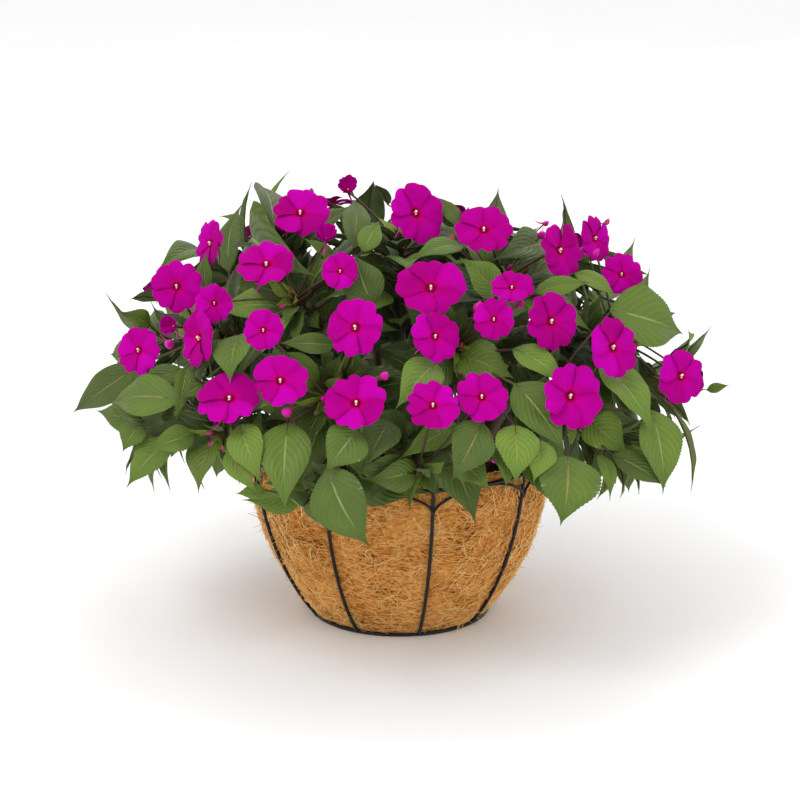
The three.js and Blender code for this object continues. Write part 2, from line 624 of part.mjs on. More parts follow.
// A piece in place, as its triangles with their boxes; blades and blooms keep clear even on their own shoot
function placed(geometry, stem, isBlade, fromFace = 0, toFace = Infinity) {
  const flat = geometry.index ? geometry.toNonIndexed() : geometry;
  const place = flat.attributes.position;
  const triangles = [];
  const box = new THREE.Box3();
  for (let i = fromFace * 3; i < Math.min(place.count, toFace * 3); i += 3) {
    const corners = [0, 1, 2].map((k) => new THREE.Vector3().fromBufferAttribute(place, i + k));
    const bounds = new THREE.Box3().setFromPoints(corners);
    triangles.push({ corners, bounds });
    box.union(bounds);
  }
  return { stem, isBlade, triangles, box };
}

const ray = new THREE.Ray();
const meeting = new THREE.Vector3();

function edgeCuts(from, to, [a, b, c]) {
  const length = from.distanceTo(to);
  ray.origin.copy(from);
  ray.direction.copy(to).sub(from).divideScalar(length);
  return ray.intersectTriangle(a, b, c, false, meeting) !== null && meeting.distanceTo(from) <= length;
}

function trianglesCross(first, second) {
  for (let k = 0; k < 3; k += 1) {
    if (edgeCuts(first[k], first[(k + 1) % 3], second)) return true;
    if (edgeCuts(second[k], second[(k + 1) % 3], first)) return true;
  }
  return false;
}

function piecesCross(first, second) {
  if (!first.box.intersectsBox(second.box)) return false;
  const near = second.triangles.filter(({ bounds }) => bounds.intersectsBox(first.box));
  return first.triangles.some(({ corners, bounds }) => near
    .some((other) => other.bounds.intersectsBox(bounds) && trianglesCross(corners, other.corners)));
}

const fits = (pieces, others) => pieces.every((piece) => others.every((other) => {
  const together = other.stem === piece.stem && !(piece.isBlade && other.isBlade);
  return together || !piecesCross(piece, other);
}));

// Growing the plant: what is already in place, and what each shoot and spray holds
const CLEAR = GAP + 0.1;
const PETIOLE_FACES = 7;
const inPlace = [];
const leavesOf = STEM_PATHS.map(() => []);
const bloomsOf = STEM_PATHS.map(() => []);
const SPRAY = 1000;
const BASKET = -1;

function placeFixed(name, geometry) {
  inPlace.push(placed(geometry, name, false));
  return geometry;
}

function placeLeaf(candidates) {
  for (const leaf of candidates) {
    const forward = leaf.foot.clone().sub(leaf.root).normalize().dot(leaf.heading);
    if (forward < LEAST_FORWARD) continue;
    const grown = leafGeometry(leaf, CLEAR);
    const pieces = [
      placed(grown, leaf.stem, false, 0, PETIOLE_FACES),
      placed(grown, leaf.stem, true, PETIOLE_FACES),
    ];
    if (fits(pieces, inPlace)) {
      const exact = leafGeometry(leaf, 0);
      inPlace.push(placed(exact, leaf.stem, false, 0, PETIOLE_FACES), placed(exact, leaf.stem, true, PETIOLE_FACES));
      leavesOf[leaf.stem].push(leaf);
      return true;
    }
  }
  return false;
}

function placeBloom(candidates) {
  for (const flower of candidates) {
    const grown = placed(bloomGeometry(flower, CLEAR), SPRAY + flower.stem, false);
    const clear = fits([grown], inPlace.filter((other) => other.stem !== flower.stem || other.isBlade));
    if (clear) {
      inPlace.push(placed(bloomGeometry(flower, 0), SPRAY + flower.stem, false));
      bloomsOf[flower.stem].push(flower);
      return true;
    }
  }
  return false;
}

const attempts = (count, make) => Array.from({ length: count }, (_, attempt) => make(attempt));

const frameSolid = wireFrame();
const linerSolid = coirLiner();
const soilSolid = soil();
placeFixed(BASKET, geometryOf(frameSolid));
placeFixed(BASKET, geometryOf(linerSolid));
placeFixed(BASKET, geometryOf(soilSolid));
STEM_PATHS.forEach((_, stem) => placeFixed(stem, stemSolid(stem, 0)));

SHOWN_BLOOMS.forEach((_, index) => placeBloom(attempts(BLOOM_ATTEMPTS, (n) => shownBloom(index, n))));
for (let index = 0; index < HIDDEN_BLOOMS_ROUND; index += 1) {
  if (isHidden(hiddenBloom(index, 0))) placeBloom(attempts(BLOOM_ATTEMPTS, (n) => hiddenBloom(index, n)));
}
SHOWN_LEAVES.forEach((_, index) => placeLeaf(attempts(SHOWN_ATTEMPTS, (n) => shownLeaf(index, n))));
WHORLS.forEach(({ leaves }, whorl) => {
  STEM_PATHS.forEach((_, stem) => {
    for (let place = 0; place < leaves && leavesOf[stem].length < SHOOT_LEAVES; place += 1) {
      const tries = attempts(WHORL_ATTEMPTS, (n) => whorlLeaf(stem, whorl, place, n));
      placeLeaf(tries.filter((leaf) => !hangsLow(leaf)));
    }
  });
});

// Materials

const surface = (color, roughness, metalness = 0) => new THREE.MeshStandardMaterial({ color, roughness, metalness });
const wirePaint = () => surface(0x17181a, 0.4, 0.2);
const coir = () => surface(0xb97f3f, 0.95);
const pottingSoil = () => surface(0x2c2019, 0.95);
const leafGreen = () => surface(0x4c6b34, 0.55);
const petalMagenta = () => surface(0xc400b4, 0.6);

// The object

const plant = new THREE.Group();

function addPiece(name, whole, material) {
  const mesh = new THREE.Mesh(geometryOf(whole), material);
  mesh.name = name;
  plant.add(mesh);
}

const numbered = (name, index) => `${name}_${String(index + 1).padStart(2, '0')}`;

addPiece('wire_frame', frameSolid, wirePaint());
addPiece('coir_liner', linerSolid, coir());
addPiece('soil', soilSolid, pottingSoil());
leavesOf.forEach((leaves, stem) => {
  const parts = [solid(stemSolid(stem, 0)), ...leaves.map((leaf) => solid(leafGeometry(leaf, 0)))];
  addPiece(numbered('leafy_stem', stem), joined(parts), leafGreen());
});
bloomsOf.forEach((flowers, stem) => {
  if (flowers.length > 0) {
    const parts = flowers.map((flower) => solid(bloomGeometry(flower, 0)));
    addPiece(numbered('flower_spray', stem), joined(parts), petalMagenta());
  }
});

export default plant;
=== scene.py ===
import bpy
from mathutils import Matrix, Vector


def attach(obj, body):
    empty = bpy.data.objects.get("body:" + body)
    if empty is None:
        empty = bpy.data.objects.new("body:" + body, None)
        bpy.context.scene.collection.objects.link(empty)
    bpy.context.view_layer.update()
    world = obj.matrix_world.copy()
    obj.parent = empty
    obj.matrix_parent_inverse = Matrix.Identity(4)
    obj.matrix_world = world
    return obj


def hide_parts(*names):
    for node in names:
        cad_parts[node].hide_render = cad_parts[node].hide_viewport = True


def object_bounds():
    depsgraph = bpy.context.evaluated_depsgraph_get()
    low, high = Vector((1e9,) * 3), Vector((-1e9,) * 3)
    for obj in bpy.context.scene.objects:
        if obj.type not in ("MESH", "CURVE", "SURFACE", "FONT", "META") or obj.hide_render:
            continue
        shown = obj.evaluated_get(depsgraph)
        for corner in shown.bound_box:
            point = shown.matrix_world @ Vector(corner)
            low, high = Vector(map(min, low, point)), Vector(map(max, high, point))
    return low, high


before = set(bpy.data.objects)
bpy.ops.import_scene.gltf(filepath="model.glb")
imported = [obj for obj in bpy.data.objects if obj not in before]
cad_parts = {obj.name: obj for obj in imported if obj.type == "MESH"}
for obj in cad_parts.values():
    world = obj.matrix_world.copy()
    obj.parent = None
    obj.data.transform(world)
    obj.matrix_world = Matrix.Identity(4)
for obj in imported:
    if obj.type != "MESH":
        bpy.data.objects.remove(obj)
cad_box = [list(corner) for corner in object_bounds()]

# A New Guinea impatiens in full bloom in a wire basket with a coir liner.
# Lengths are millimetres until a mesh is made. +Z is up, the basket's axis is Z and its show side faces -Y.
# An azimuth is measured round Z from -Y towards +X.
import itertools
import math
from types import SimpleNamespace

import bpy
import numpy as np
from mathutils import Vector, kdtree

BODY = "root"
METRES = 0.001
UP = np.array([0.0, 0.0, 1.0])
SIDEWAYS = np.array([1.0, 0.0, 0.0])

# Basket, as in the solids
RING_RADIUS = 89.5
RIM_RADIUS = 153
RIM_HEIGHT = 170
UPRIGHTS = 9
FIRST_UPRIGHT = math.radians(12)
WIRE_RADIUS = 1.8
PRESS = 0.9
GAP = 0.3
LINER_THICKNESS = 9
LINER_TOP = 177
LINER_BULGE = 5
SOIL_TOP = 160
ROOTING_DEPTH = 14
SIDE_ENDS = np.array([[RING_RADIUS, WIRE_RADIUS], [108, 22], [146, 80], [RIM_RADIUS, RIM_HEIGHT]])

# Foliage dome and the view that its show side is laid out for, as in the solids
DOME_HALF = np.array([310.0, 310.0, 235.0])
DOME_CENTRE = np.array([0.0, 0.0, 200.0])
SIGHT_CENTRE = np.array([0.0, 0.0, 218.0])
SIGHT_ELEVATION = math.radians(15.5)
SIGHT_DISTANCE = 2600
SIGHT_WIDTH = 800

# Shoots, leaves and blooms, as in the solids
STEMS = 27
GOLDEN_ANGLE = math.pi * (3 - math.sqrt(5))
STEM_REACH = 0.8
STEM_LOWEST = 1.13
STEM_FEET_FROM = 14
STEM_FEET_SPREAD = 94
STEM_BEND_AT = 0.4
STEM_BEND_HEIGHT = 0.75
STEM_BEND_LIFT = 80
STEM_FOOT_RADIUS = 5.2
STEM_TIP_RADIUS = 2.6
STEM_STEPS = 4
LEAF_THICKNESS = 1.5
LEAF_FOLD = 0.2
LEAF_ARCH = 0.75
PETIOLE_RADIUS = 1.3
MARGIN = [[0.16, 0.74], [0.42, 1.05], [0.48, 0.88], [0.74, 0.54]]
MIDRIB = [0.34, 0.66]
SHOWN_ATTEMPTS = 16
BACKWARD_COST = 45
OUTER_LAYER = 1.03
LAYER_STEP = 0.035
FOOT_BELOW = 0.05
FOOT_LOWER = 0.07
NARROWEST = 0.3
WHORL_ATTEMPTS = 8
WHORL_TURN = 0.22
LAST_ROOT = 0.985
FRINGE_LOWEST = -95
WHORLS = [
    SimpleNamespace(at=0.88, leaves=4, length=86, slim=0.48, spread=74, petiole=15),
    SimpleNamespace(at=0.7, leaves=3, length=98, slim=0.5, spread=94, petiole=20),
    SimpleNamespace(at=0.97, leaves=3, length=60, slim=0.42, spread=50, petiole=9),
]
PETALS = 5
BLOOM_CUP = 0.11
BLOOM_THICKNESS = 0.05
BLOOM_SWELL = 1.04
BLOOM_SWELL_STEP = 0.025
PEDICEL_RADIUS = 1.3
HIDDEN_BLOOMS_ROUND = 58
HIDDEN_BLOOM_SIZE = 48
HIDDEN_LOWEST = 1.05
HIDDEN_TURN = 1.3
HUB_HEIGHT = 2.4
BLOOM_ATTEMPTS = 8
PETAL_EDGE = [[-34, 0.8, -0.08], [-18, 1, -0.02], [0, 0.91, 0.03], [20, 1, 0.09]]

# Blooms on the show side: across, up, seen width, seen height
SHOWN_BLOOMS = [
    [-100, 189, 54, 48], [-52, 211, 26, 24], [17, 188, 50, 58], [84, 172, 52, 48], [162, 150, 40, 55],
    [197, 162, 30, 45], [222, 126, 40, 40], [-192, 157, 26, 48], [-224, 114, 50, 50], [-186, 97, 36, 36],
    [-134, 138, 54, 42], [-74, 162, 28, 22], [-60, 129, 34, 34], [-137, 70, 38, 38], [-46, 73, 50, 56],
    [31, 114, 62, 56], [36, 64, 42, 46], [112, 114, 40, 32], [94, 81, 38, 38], [153, 79, 46, 56],
    [215, 53, 46, 56], [172, 4, 56, 62], [283, 24, 48, 54], [-120, 20, 50, 48], [-171, 4, 58, 42],
    [-44, -2, 54, 50], [33, -4, 48, 40], [82, 4, 46, 44], [-263, 50, 44, 48], [-227, 74, 22, 26],
    [-204, 62, 32, 58],
]

# Leaves that stand out on the show side: across and up of the foot, of the tip, seen width
SHOWN_LEAVES = [
    [-72, -68, -28, -150, 54], [-112, -23, -115, -115, 46], [36, 37, -6, -11, 36], [59, -25, -4, -61, 26],
    [82, -22, 50, -84, 40], [187, -19, 230, -57, 40], [200, 35, 255, -40, 44], [250, -10, 263, -97, 44],
    [58, 44, 117, 20, 40], [-146, 164, -78, 120, 40], [-28, 95, -46, 148, 38], [-171, 128, -156, 199, 28],
    [145, 155, 89, 138, 40], [97, 105, 58, 144, 34], [-160, 65, -170, 14, 40], [-185, -40, -202, -95, 32],
    [-205, -35, -256, -51, 26], [-220, 0, -291, -4, 40], [-260, 35, -329, -14, 26],
    [-218, 31, -266, -2, 26], [-160, -25, -138, -87, 34], [-42, -30, -76, -74, 40], [-69, 8, -58, -25, 34],
    [-11, -21, -39, -72, 34], [17, -70, -38, -80, 30], [10, -51, 10, -112, 28], [43, -42, 77, -127, 46],
    [115, 16, 167, -56, 46], [167, -56, 160, -128, 60], [115, -25, 115, -87, 40], [186, -21, 199, -63, 24],
    [113, 51, 170, 10, 28], [200, -55, 210, -102, 18], [-260, -25, -278, -53, 26],
    [-230, -40, -275, -90, 32], [-135, -90, -165, -94, 14], [-170, 58, -212, 23, 22],
    [-150, -10, -108, -2, 18], [-65, 55, -125, 57, 20], [-46, 152, -46, 202, 26], [-37, 148, -20, 180, 22],
    [62, 154, 7, 138, 22], [135, 108, 192, 118, 18], [175, 127, 219, 101, 20], [210, 90, 285, 65, 60],
    [275, 50, 288, 71, 20], [307, 10, 330, 15, 10], [202, 148, 252, 124, 8], [-250, 75, -280, 89, 22],
    [-235, 100, -271, 100, 14], [-200, 150, -246, 127, 16], [-193, 108, -193, 150, 18],
    [-155, 175, -181, 184, 14], [-157, 160, -146, 194, 12], [-127, 174, -145, 214, 22],
    [-132, 185, -110, 230, 14], [-65, 139, -99, 163, 14], [-12, 195, -27, 216, 14], [59, 174, 35, 204, 14],
    [22, -60, 40, -99, 26], [135, -50, 158, -112, 38], [212, -55, 268, -88, 26], [-112, -3, -175, -27, 22],
    [-172, -50, -140, -97, 22], [272, -8, 291, -95, 12], [-213, 33, -225, -24, 12],
    [-198, 15, -221, 0, 14], [100, -44, 106, -90, 34], [140, -40, 133, -84, 30], [62, -62, 92, -92, 28],
    [140, -38, 156, -78, 26],
]


def draw(*keys):
    """A number from 0 to 1 that depends on its keys alone, the same one as in the solids' source."""
    mixed = 20261
    for key in keys:
        mixed = ((mixed ^ (key + 0x9E3779B9)) * 0x85EBCA6B) & 0xFFFFFFFF
        mixed ^= mixed >> 13
        mixed = (mixed * 0xC2B2AE35) & 0xFFFFFFFF
        mixed ^= mixed >> 16
    return mixed / 4294967296


def jitter(span, *keys):
    return span * (2 * draw(*keys) - 1)


def unit(vector):
    return vector / np.linalg.norm(vector)


def across(direction, along):
    """What is left of a direction once its share along another is taken off."""
    return unit(direction - along * np.dot(direction, along))


def either(*keys):
    """Minus one or one."""
    return -1 if draw(*keys) < 0.5 else 1


def outward(azimuth):
    return np.array([math.sin(azimuth), -math.cos(azimuth), 0.0])


def swung(vector, axis, angle):
    """A vector turned about an axis."""
    lifted = np.cross(axis, vector) * math.sin(angle)
    return vector * math.cos(angle) + lifted + axis * np.dot(axis, vector) * (1 - math.cos(angle))


def side_of(axis):
    """A direction square to an axis, upright where the axis isn't."""
    return across(UP if abs(axis[2]) < 0.9 else SIDEWAYS, axis)


def same_shape(*values):
    return np.broadcast_arrays(*(np.asarray(value, dtype=float) for value in values))


def bezier(ends, t):
    """Points of a quadratic or cubic curve."""
    points = np.asarray(ends, dtype=float)
    t = np.asarray(t, dtype=float)[..., None]
    degree = len(points) - 1
    weights = [math.comb(degree, k) * t**k * (1 - t) ** (degree - k) for k in range(degree + 1)]
    return sum(weight * point for weight, point in zip(weights, points))


# Places on the dome

SIGHT_UP = np.array([0.0, math.sin(SIGHT_ELEVATION), math.cos(SIGHT_ELEVATION)])
TO_EYE = np.array([0.0, -math.cos(SIGHT_ELEVATION), math.sin(SIGHT_ELEVATION)])
EYE = SIGHT_CENTRE + SIGHT_DISTANCE * TO_EYE


def dome_normal(place):
    return unit((place - DOME_CENTRE) / DOME_HALF**2)


def seen_at(right, up, swell):
    """The place on the near side of the dome, swollen or shrunk, that shows here on the show side."""
    ray = unit(SIGHT_CENTRE + up * SIGHT_UP + right * SIDEWAYS - EYE)
    start = (EYE - DOME_CENTRE) / (DOME_HALF * swell)
    slope = ray / (DOME_HALF * swell)
    a = slope @ slope
    b = start @ slope
    c = start @ start - 1
    travel = (-b - math.sqrt(max(b * b - a * c, 0))) / a
    return EYE + ray * travel


# Shoots

def stem_ends(stem):
    """A shoot's line from its foot in the soil up and out to its tip inside the dome."""
    polar = math.acos(1 - STEM_LOWEST * (stem + 0.5) / STEMS)
    azimuth = stem * GOLDEN_ANGLE + jitter(0.12, 1, stem)
    reach = STEM_REACH * (1 + jitter(0.05, 2, stem))
    tip = outward(azimuth) * DOME_HALF[0] * reach * math.sin(polar)
    tip[2] = DOME_CENTRE[2] + DOME_HALF[2] * reach * math.cos(polar)
    foot = outward(azimuth) * (STEM_FEET_FROM + STEM_FEET_SPREAD * math.sin(polar))
    foot[2] = SOIL_TOP - ROOTING_DEPTH
    bend = foot + STEM_BEND_AT * (tip - foot)
    bend[2] = foot[2] + STEM_BEND_HEIGHT * (tip[2] - foot[2]) + STEM_BEND_LIFT * math.sin(polar) ** 2
    return [foot, bend, tip]


STEM_ENDS = [stem_ends(stem) for stem in range(STEMS)]
STEM_CORNERS = [bezier(ends, np.linspace(0, 1, STEM_STEPS + 1)) for ends in STEM_ENDS]


def on_stem(stem, at):
    """A point of a shoot's axis, on the straight lengths that its solid has."""
    step = min(int(at * STEM_STEPS), STEM_STEPS - 1)
    low, high = STEM_CORNERS[stem][step], STEM_CORNERS[stem][step + 1]
    return low + (high - low) * (at * STEM_STEPS - step)


def stem_heading(stem, at):
    foot, bend, tip = STEM_ENDS[stem]
    return unit((bend - foot) * (1 - at) + (tip - bend) * at)


ROOT_STEPS = np.arange(0.5, LAST_ROOT, 0.04)
ROOTS = np.array([[on_stem(stem, at) for at in ROOT_STEPS] for stem in range(STEMS)]).reshape(-1, 3)


def root_for(foot, heading):
    """The stem point that a leaf seen from the front grows from best: near its foot and behind it."""
    away = foot - ROOTS
    distance = np.linalg.norm(away, axis=1)
    cost = distance + BACKWARD_COST * (1 - (away @ heading) / distance)
    best = int(np.argmin(cost))
    return best // len(ROOT_STEPS), ROOTS[best]


# Leaves as the solids have them

def make_leaf(stem, root, foot, heading, face, length, width, keys):
    side = unit(np.cross(heading, face))
    return SimpleNamespace(stem=stem, root=root, foot=foot, heading=heading, face=face, side=side,
                           length=length, width=width, keys=keys)


def on_leaf(leaf, along, sideways, lift):
    along, sideways, lift = same_shape(along, sideways, lift)
    lean = LEAF_ARCH * (0.5 - along)
    forward = leaf.length * (math.sin(LEAF_ARCH / 2) - np.sin(lean)) / LEAF_ARCH
    rise = leaf.length * (np.cos(lean) - math.cos(LEAF_ARCH / 2)) / LEAF_ARCH
    height = lift + LEAF_FOLD * np.abs(sideways)
    reach = (forward - height * np.sin(lean))[..., None]
    climb = (rise + height * np.cos(lean))[..., None]
    return leaf.foot + reach * leaf.heading + climb * leaf.face + sideways[..., None] * leaf.side


def leaf_corners(leaf):
    """Vertices that the leaf's solid has."""
    half = leaf.width / 2
    places = [on_leaf(leaf, 1, 0, 0)]
    for u, v in MARGIN:
        places += [on_leaf(leaf, u, v * half, 0), on_leaf(leaf, u, -v * half, 0)]
    for u in MIDRIB:
        places += [on_leaf(leaf, u, 0, LEAF_THICKNESS / 2), on_leaf(leaf, u, 0, -LEAF_THICKNESS / 2)]
    return places


def shown_leaf(index, attempt):
    foot_across, foot_up, tip_across, tip_up, seen_width = SHOWN_LEAVES[index]
    layer = OUTER_LAYER - LAYER_STEP * (attempt // 2)
    foot = seen_at(foot_across, foot_up, layer - FOOT_BELOW - FOOT_LOWER * (attempt % 2))
    tip = seen_at(tip_across, tip_up, layer)
    heading = unit(tip - foot)
    length = float(np.linalg.norm(tip - foot))
    width = max(seen_width, NARROWEST * length)
    roll = either(3, index) * math.acos(seen_width / width) + jitter(0.25, 4, index, attempt)
    face = swung(across(dome_normal(foot) * 0.6 + TO_EYE * 0.4, heading), heading, roll)
    stem, root = root_for(foot, heading)
    return make_leaf(stem, root, foot, heading, face, length, width, [20, index])


def branching(along, root, turn, angle, outwards=0.0, droop=0.0):
    """A heading away from a stem, turned round it and then bent out and down."""
    away = across(dome_normal(root), along)
    heading = along * math.cos(angle) + swung(away, along, turn) * math.sin(angle)
    return unit(heading + outwards * dome_normal(root) - droop * UP)


def upper_side(along, root, heading, roll):
    """Where the upper side of a stem's leaf faces: up, out and along the stem."""
    return swung(across(along + 0.8 * dome_normal(root) + 0.3 * UP, heading), heading, roll)


def whorl_leaf(stem, whorl, place, attempt):
    ring = WHORLS[whorl]
    keys = [5 + whorl, stem, place]
    along = stem_heading(stem, ring.at)
    root = on_stem(stem, min(ring.at + jitter(0.02, *keys, 1), LAST_ROOT))
    turn = ((place + 0.5 * whorl) / ring.leaves) * 2 * math.pi + jitter(0.35, *keys, 2)
    turn += attempt * WHORL_TURN * either(*keys, 3)
    angle = math.radians(ring.spread) + jitter(0.2, *keys, 4, attempt)
    heading = branching(along, root, turn, angle, 0.25, 0.3)
    face = upper_side(along, root, heading, jitter(0.35, *keys, 5, attempt))
    foot = root + heading * ring.petiole + along * 0.25 * ring.petiole
    size = ring.length * (1 + jitter(0.14, *keys, 6)) * (1 - 0.06 * attempt)
    return make_leaf(stem, root, foot, heading, face, size, ring.slim * size, keys)


# Blooms as the solids have them

STEM_TIPS = np.array([ends[2] for ends in STEM_ENDS])


def nearest_stem(place):
    return int(np.argmin(np.linalg.norm(STEM_TIPS - place, axis=1)))


def make_bloom(centre, facing, radius, keys):
    stem = nearest_stem(centre)
    facing = unit(facing)
    side = side_of(facing)
    return SimpleNamespace(stem=stem, centre=centre, facing=facing, side=side, other=np.cross(facing, side),
                           radius=radius, spin=draw(8, *keys) * 2 * math.pi, keys=keys)


def bloom_swell(attempt):
    return BLOOM_SWELL + BLOOM_SWELL_STEP * math.ceil(attempt / 2) * (-1 if attempt % 2 else 1)


def shown_bloom(index, attempt):
    right, up, wide, high = SHOWN_BLOOMS[index]
    size = max(wide, high)
    centre = seen_at(right, up, bloom_swell(attempt))
    facing = TO_EYE + 0.25 * dome_normal(centre)
    facing = facing + np.sign(right) * math.tan(math.acos(wide / size)) * SIDEWAYS
    facing = facing + math.tan(math.acos(high / size)) * SIGHT_UP
    return make_bloom(centre, facing, size / 2, [index])


def hidden_bloom(index, attempt):
    polar = math.acos(1 - HIDDEN_LOWEST * (index + 0.5) / HIDDEN_BLOOMS_ROUND)
    reach = bloom_swell(attempt)
    centre = outward(index * GOLDEN_ANGLE + HIDDEN_TURN) * DOME_HALF[0] * reach * math.sin(polar)
    centre[2] = DOME_CENTRE[2] + DOME_HALF[2] * reach * math.cos(polar)
    facing = dome_normal(centre) + np.array([jitter(0.3, 9, index), jitter(0.3, 10, index), 0.25])
    return make_bloom(centre, facing, HIDDEN_BLOOM_SIZE / 2 * (1 + jitter(0.16, 11, index)), [index, 1])


def on_bloom(flower, turn, reach, height):
    turn, reach, height = same_shape(turn, reach, height)
    return (flower.centre + (reach * np.cos(turn))[..., None] * flower.side
            + (reach * np.sin(turn))[..., None] * flower.other + height[..., None] * flower.facing)


def bloom_corners(flower):
    places = []
    for petal in range(PETALS):
        for angle, reach, height in PETAL_EDGE:
            turn = flower.spin + 2 * math.pi * petal / PETALS + math.radians(angle)
            places.append(on_bloom(flower, turn, reach * flower.radius, height * flower.radius))
    return places


def hub_place(stem):
    return STEM_ENDS[stem][2] + stem_heading(stem, 1) * (GAP + HUB_HEIGHT)


def pedicel_ends(flower):
    hub = hub_place(flower.stem)
    back = flower.centre - flower.facing * (BLOOM_CUP + BLOOM_THICKNESS) * flower.radius * 2
    middle = (hub + back) / 2
    middle = middle + 0.12 * np.linalg.norm(back - hub) * dome_normal(middle) - 6 * flower.facing
    return [hub, middle, back]


# What the solids hold: each leaf and bloom is looked up among the frame's vertices

PLANT_NODES = ("leafy_stem", "flower_spray")
SAME_PLACE = 0.05
MOSTLY = 0.7


def frame_corners():
    plants = [node for name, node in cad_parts.items() if name.startswith(PLANT_NODES)]
    places = [np.array(vertex.co) / METRES for node in plants for vertex in node.data.vertices]
    tree = kdtree.KDTree(len(places))
    for index, place in enumerate(places):
        tree.insert(place, index)
    tree.balance()
    return tree


FRAME_CORNERS = frame_corners()


def share_found(places):
    return sum(FRAME_CORNERS.find(place)[2] < SAME_PLACE for place in places) / len(places)


def in_frame(candidates, corners):
    """The candidates, one or none, whose corners are in the frame."""
    best = max(candidates, key=lambda candidate: share_found(corners(candidate)))
    return [best] if share_found(corners(best)) > MOSTLY else []


def leaves_of_frame():
    found = []
    for index in range(len(SHOWN_LEAVES)):
        found += in_frame([shown_leaf(index, n) for n in range(SHOWN_ATTEMPTS)], leaf_corners)
    for whorl, ring in enumerate(WHORLS):
        for stem in range(STEMS):
            for place in range(ring.leaves):
                tries = [whorl_leaf(stem, whorl, place, n) for n in range(WHORL_ATTEMPTS)]
                found += in_frame(tries, leaf_corners)
    return found


def blooms_of_frame():
    found = []
    for index in range(len(SHOWN_BLOOMS)):
        found += in_frame([shown_bloom(index, n) for n in range(BLOOM_ATTEMPTS)], bloom_corners)
    for index in range(HIDDEN_BLOOMS_ROUND):
        found += in_frame([hidden_bloom(index, n) for n in range(BLOOM_ATTEMPTS)], bloom_corners)
    return found


leaves = leaves_of_frame()
blooms = blooms_of_frame()


# Meshes

SHARP_ANGLE = math.radians(75)
PLAIN = (0.5, 0.5, 0.5)


class Piece:
    """Parts of one object: places in millimetres, faces, and for each place what the materials read."""

    def __init__(self, name, slot, materials):
        self.name = name
        self.slot = slot
        self.materials = materials
        self.places = []
        self.marks = []
        self.natures = []
        self.faces = []
        self.kinds = []
        self.count = 0

    def add(self, places, groups, marks=None, nature=PLAIN):
        """Adds a closed part. Each group is its faces and the number of their material."""
        places = np.asarray(places, dtype=float).reshape(-1, 3)
        inside_out = volume(places, [faces for faces, _ in groups]) < 0
        for faces, kind in groups:
            faces = faces[:, ::-1] if inside_out else faces
            self.faces.append(faces + self.count)
            self.kinds.append(np.full(len(faces), kind))
        self.places.append(places)
        self.marks.append(np.zeros((len(places), 3)) if marks is None else marks.reshape(-1, 3))
        self.natures.append(np.broadcast_to(np.asarray(nature, dtype=float), (len(places), 3)))
        self.count += len(places)

    def build(self, *replaced):
        mesh = bpy.data.meshes.new(self.name)
        places = np.concatenate(self.places) * METRES
        corners = np.concatenate([faces.ravel() for faces in self.faces])
        sizes = np.concatenate([np.full(len(faces), faces.shape[1]) for faces in self.faces])
        mesh.vertices.add(len(places))
        mesh.vertices.foreach_set("co", places.ravel())
        mesh.loops.add(len(corners))
        mesh.loops.foreach_set("vertex_index", corners)
        mesh.polygons.add(len(sizes))
        mesh.polygons.foreach_set("loop_start", np.concatenate([[0], np.cumsum(sizes)[:-1]]))
        for material in self.materials:
            mesh.materials.append(material)
        mesh.polygons.foreach_set("material_index", np.concatenate(self.kinds))
        mesh.update(calc_edges=True)
        mesh.validate()
        mesh.shade_smooth()
        mesh.set_sharp_from_angle(angle=SHARP_ANGLE)
        for name, values in (("marks", self.marks), ("nature", self.natures)):
            layer = mesh.attributes.new(name, "FLOAT_VECTOR", "POINT")
            layer.data.foreach_set("vector", np.concatenate(values).ravel())
        piece = bpy.data.objects.new(self.name, mesh)
        bpy.context.scene.collection.objects.link(piece)
        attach(piece, BODY)
        if replaced:
            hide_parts(*replaced)


def volume(places, blocks):
    """Six times the volume that faces enclose, negative if they point inwards."""
    total = 0.0
    for faces in blocks:
        for k in range(1, faces.shape[1] - 1):
            a, b, c = (places[faces[:, corner]] - places[0] for corner in (0, k, k + 1))
            total += float(np.einsum("ij,ij->", a, np.cross(b, c)))
    return total


def grid_faces(rows, columns, closed=False):
    """Quads of a grid of places, row after row; closed joins its last column to its first."""
    last = columns if closed else columns - 1
    row, column = (part.ravel() for part in np.meshgrid(np.arange(rows - 1), np.arange(last), indexing="ij"))
    after = (column + 1) % columns
    return np.stack([row * columns + column, row * columns + after,
                     (row + 1) * columns + after, (row + 1) * columns + column], axis=1)


def grid_marks(grid, along, sideways=0.0):
    marks = np.zeros(grid.shape)
    marks[..., 0] = along
    marks[..., 1] = sideways
    return marks


def turns(steps, shift=0.0):
    """Angles spread evenly round a circle."""
    return 2 * math.pi * (np.arange(steps) + shift) / steps


def ring_places(middle, first, second, radius, turn):
    return middle + radius * (np.cos(turn)[:, None] * first + np.sin(turn)[:, None] * second)


def add_wrapped(piece, grid, kind=0, marks=None, nature=PLAIN):
    """A body from a grid of places whose columns go round it, capped at its first and last rows."""
    rows, columns, _ = grid.shape
    faces = grid_faces(rows, columns, closed=True)
    ends = np.array([np.arange(columns)[::-1], (rows - 1) * columns + np.arange(columns)])
    piece.add(grid, [(faces, kind), (ends, kind)], marks, nature)


def add_tube(piece, points, radii, sides, kind=0, nature=PLAIN):
    """A round tube with flat ends along a line of points."""
    headings = np.gradient(np.asarray(points, dtype=float), axis=0)
    start = np.array([1.0, 0.2, 0.1]) if abs(unit(headings[0])[0]) < 0.8 else UP
    rings = []
    for point, heading, radius in zip(points, headings, np.broadcast_to(radii, len(points))):
        heading = unit(heading)
        start = across(start, heading)
        rings.append(ring_places(point, start, np.cross(heading, start), radius, turns(sides)))
    grid = np.array(rings)
    add_wrapped(piece, grid, kind, grid_marks(grid, np.linspace(0, 1, len(points))[:, None]), nature)


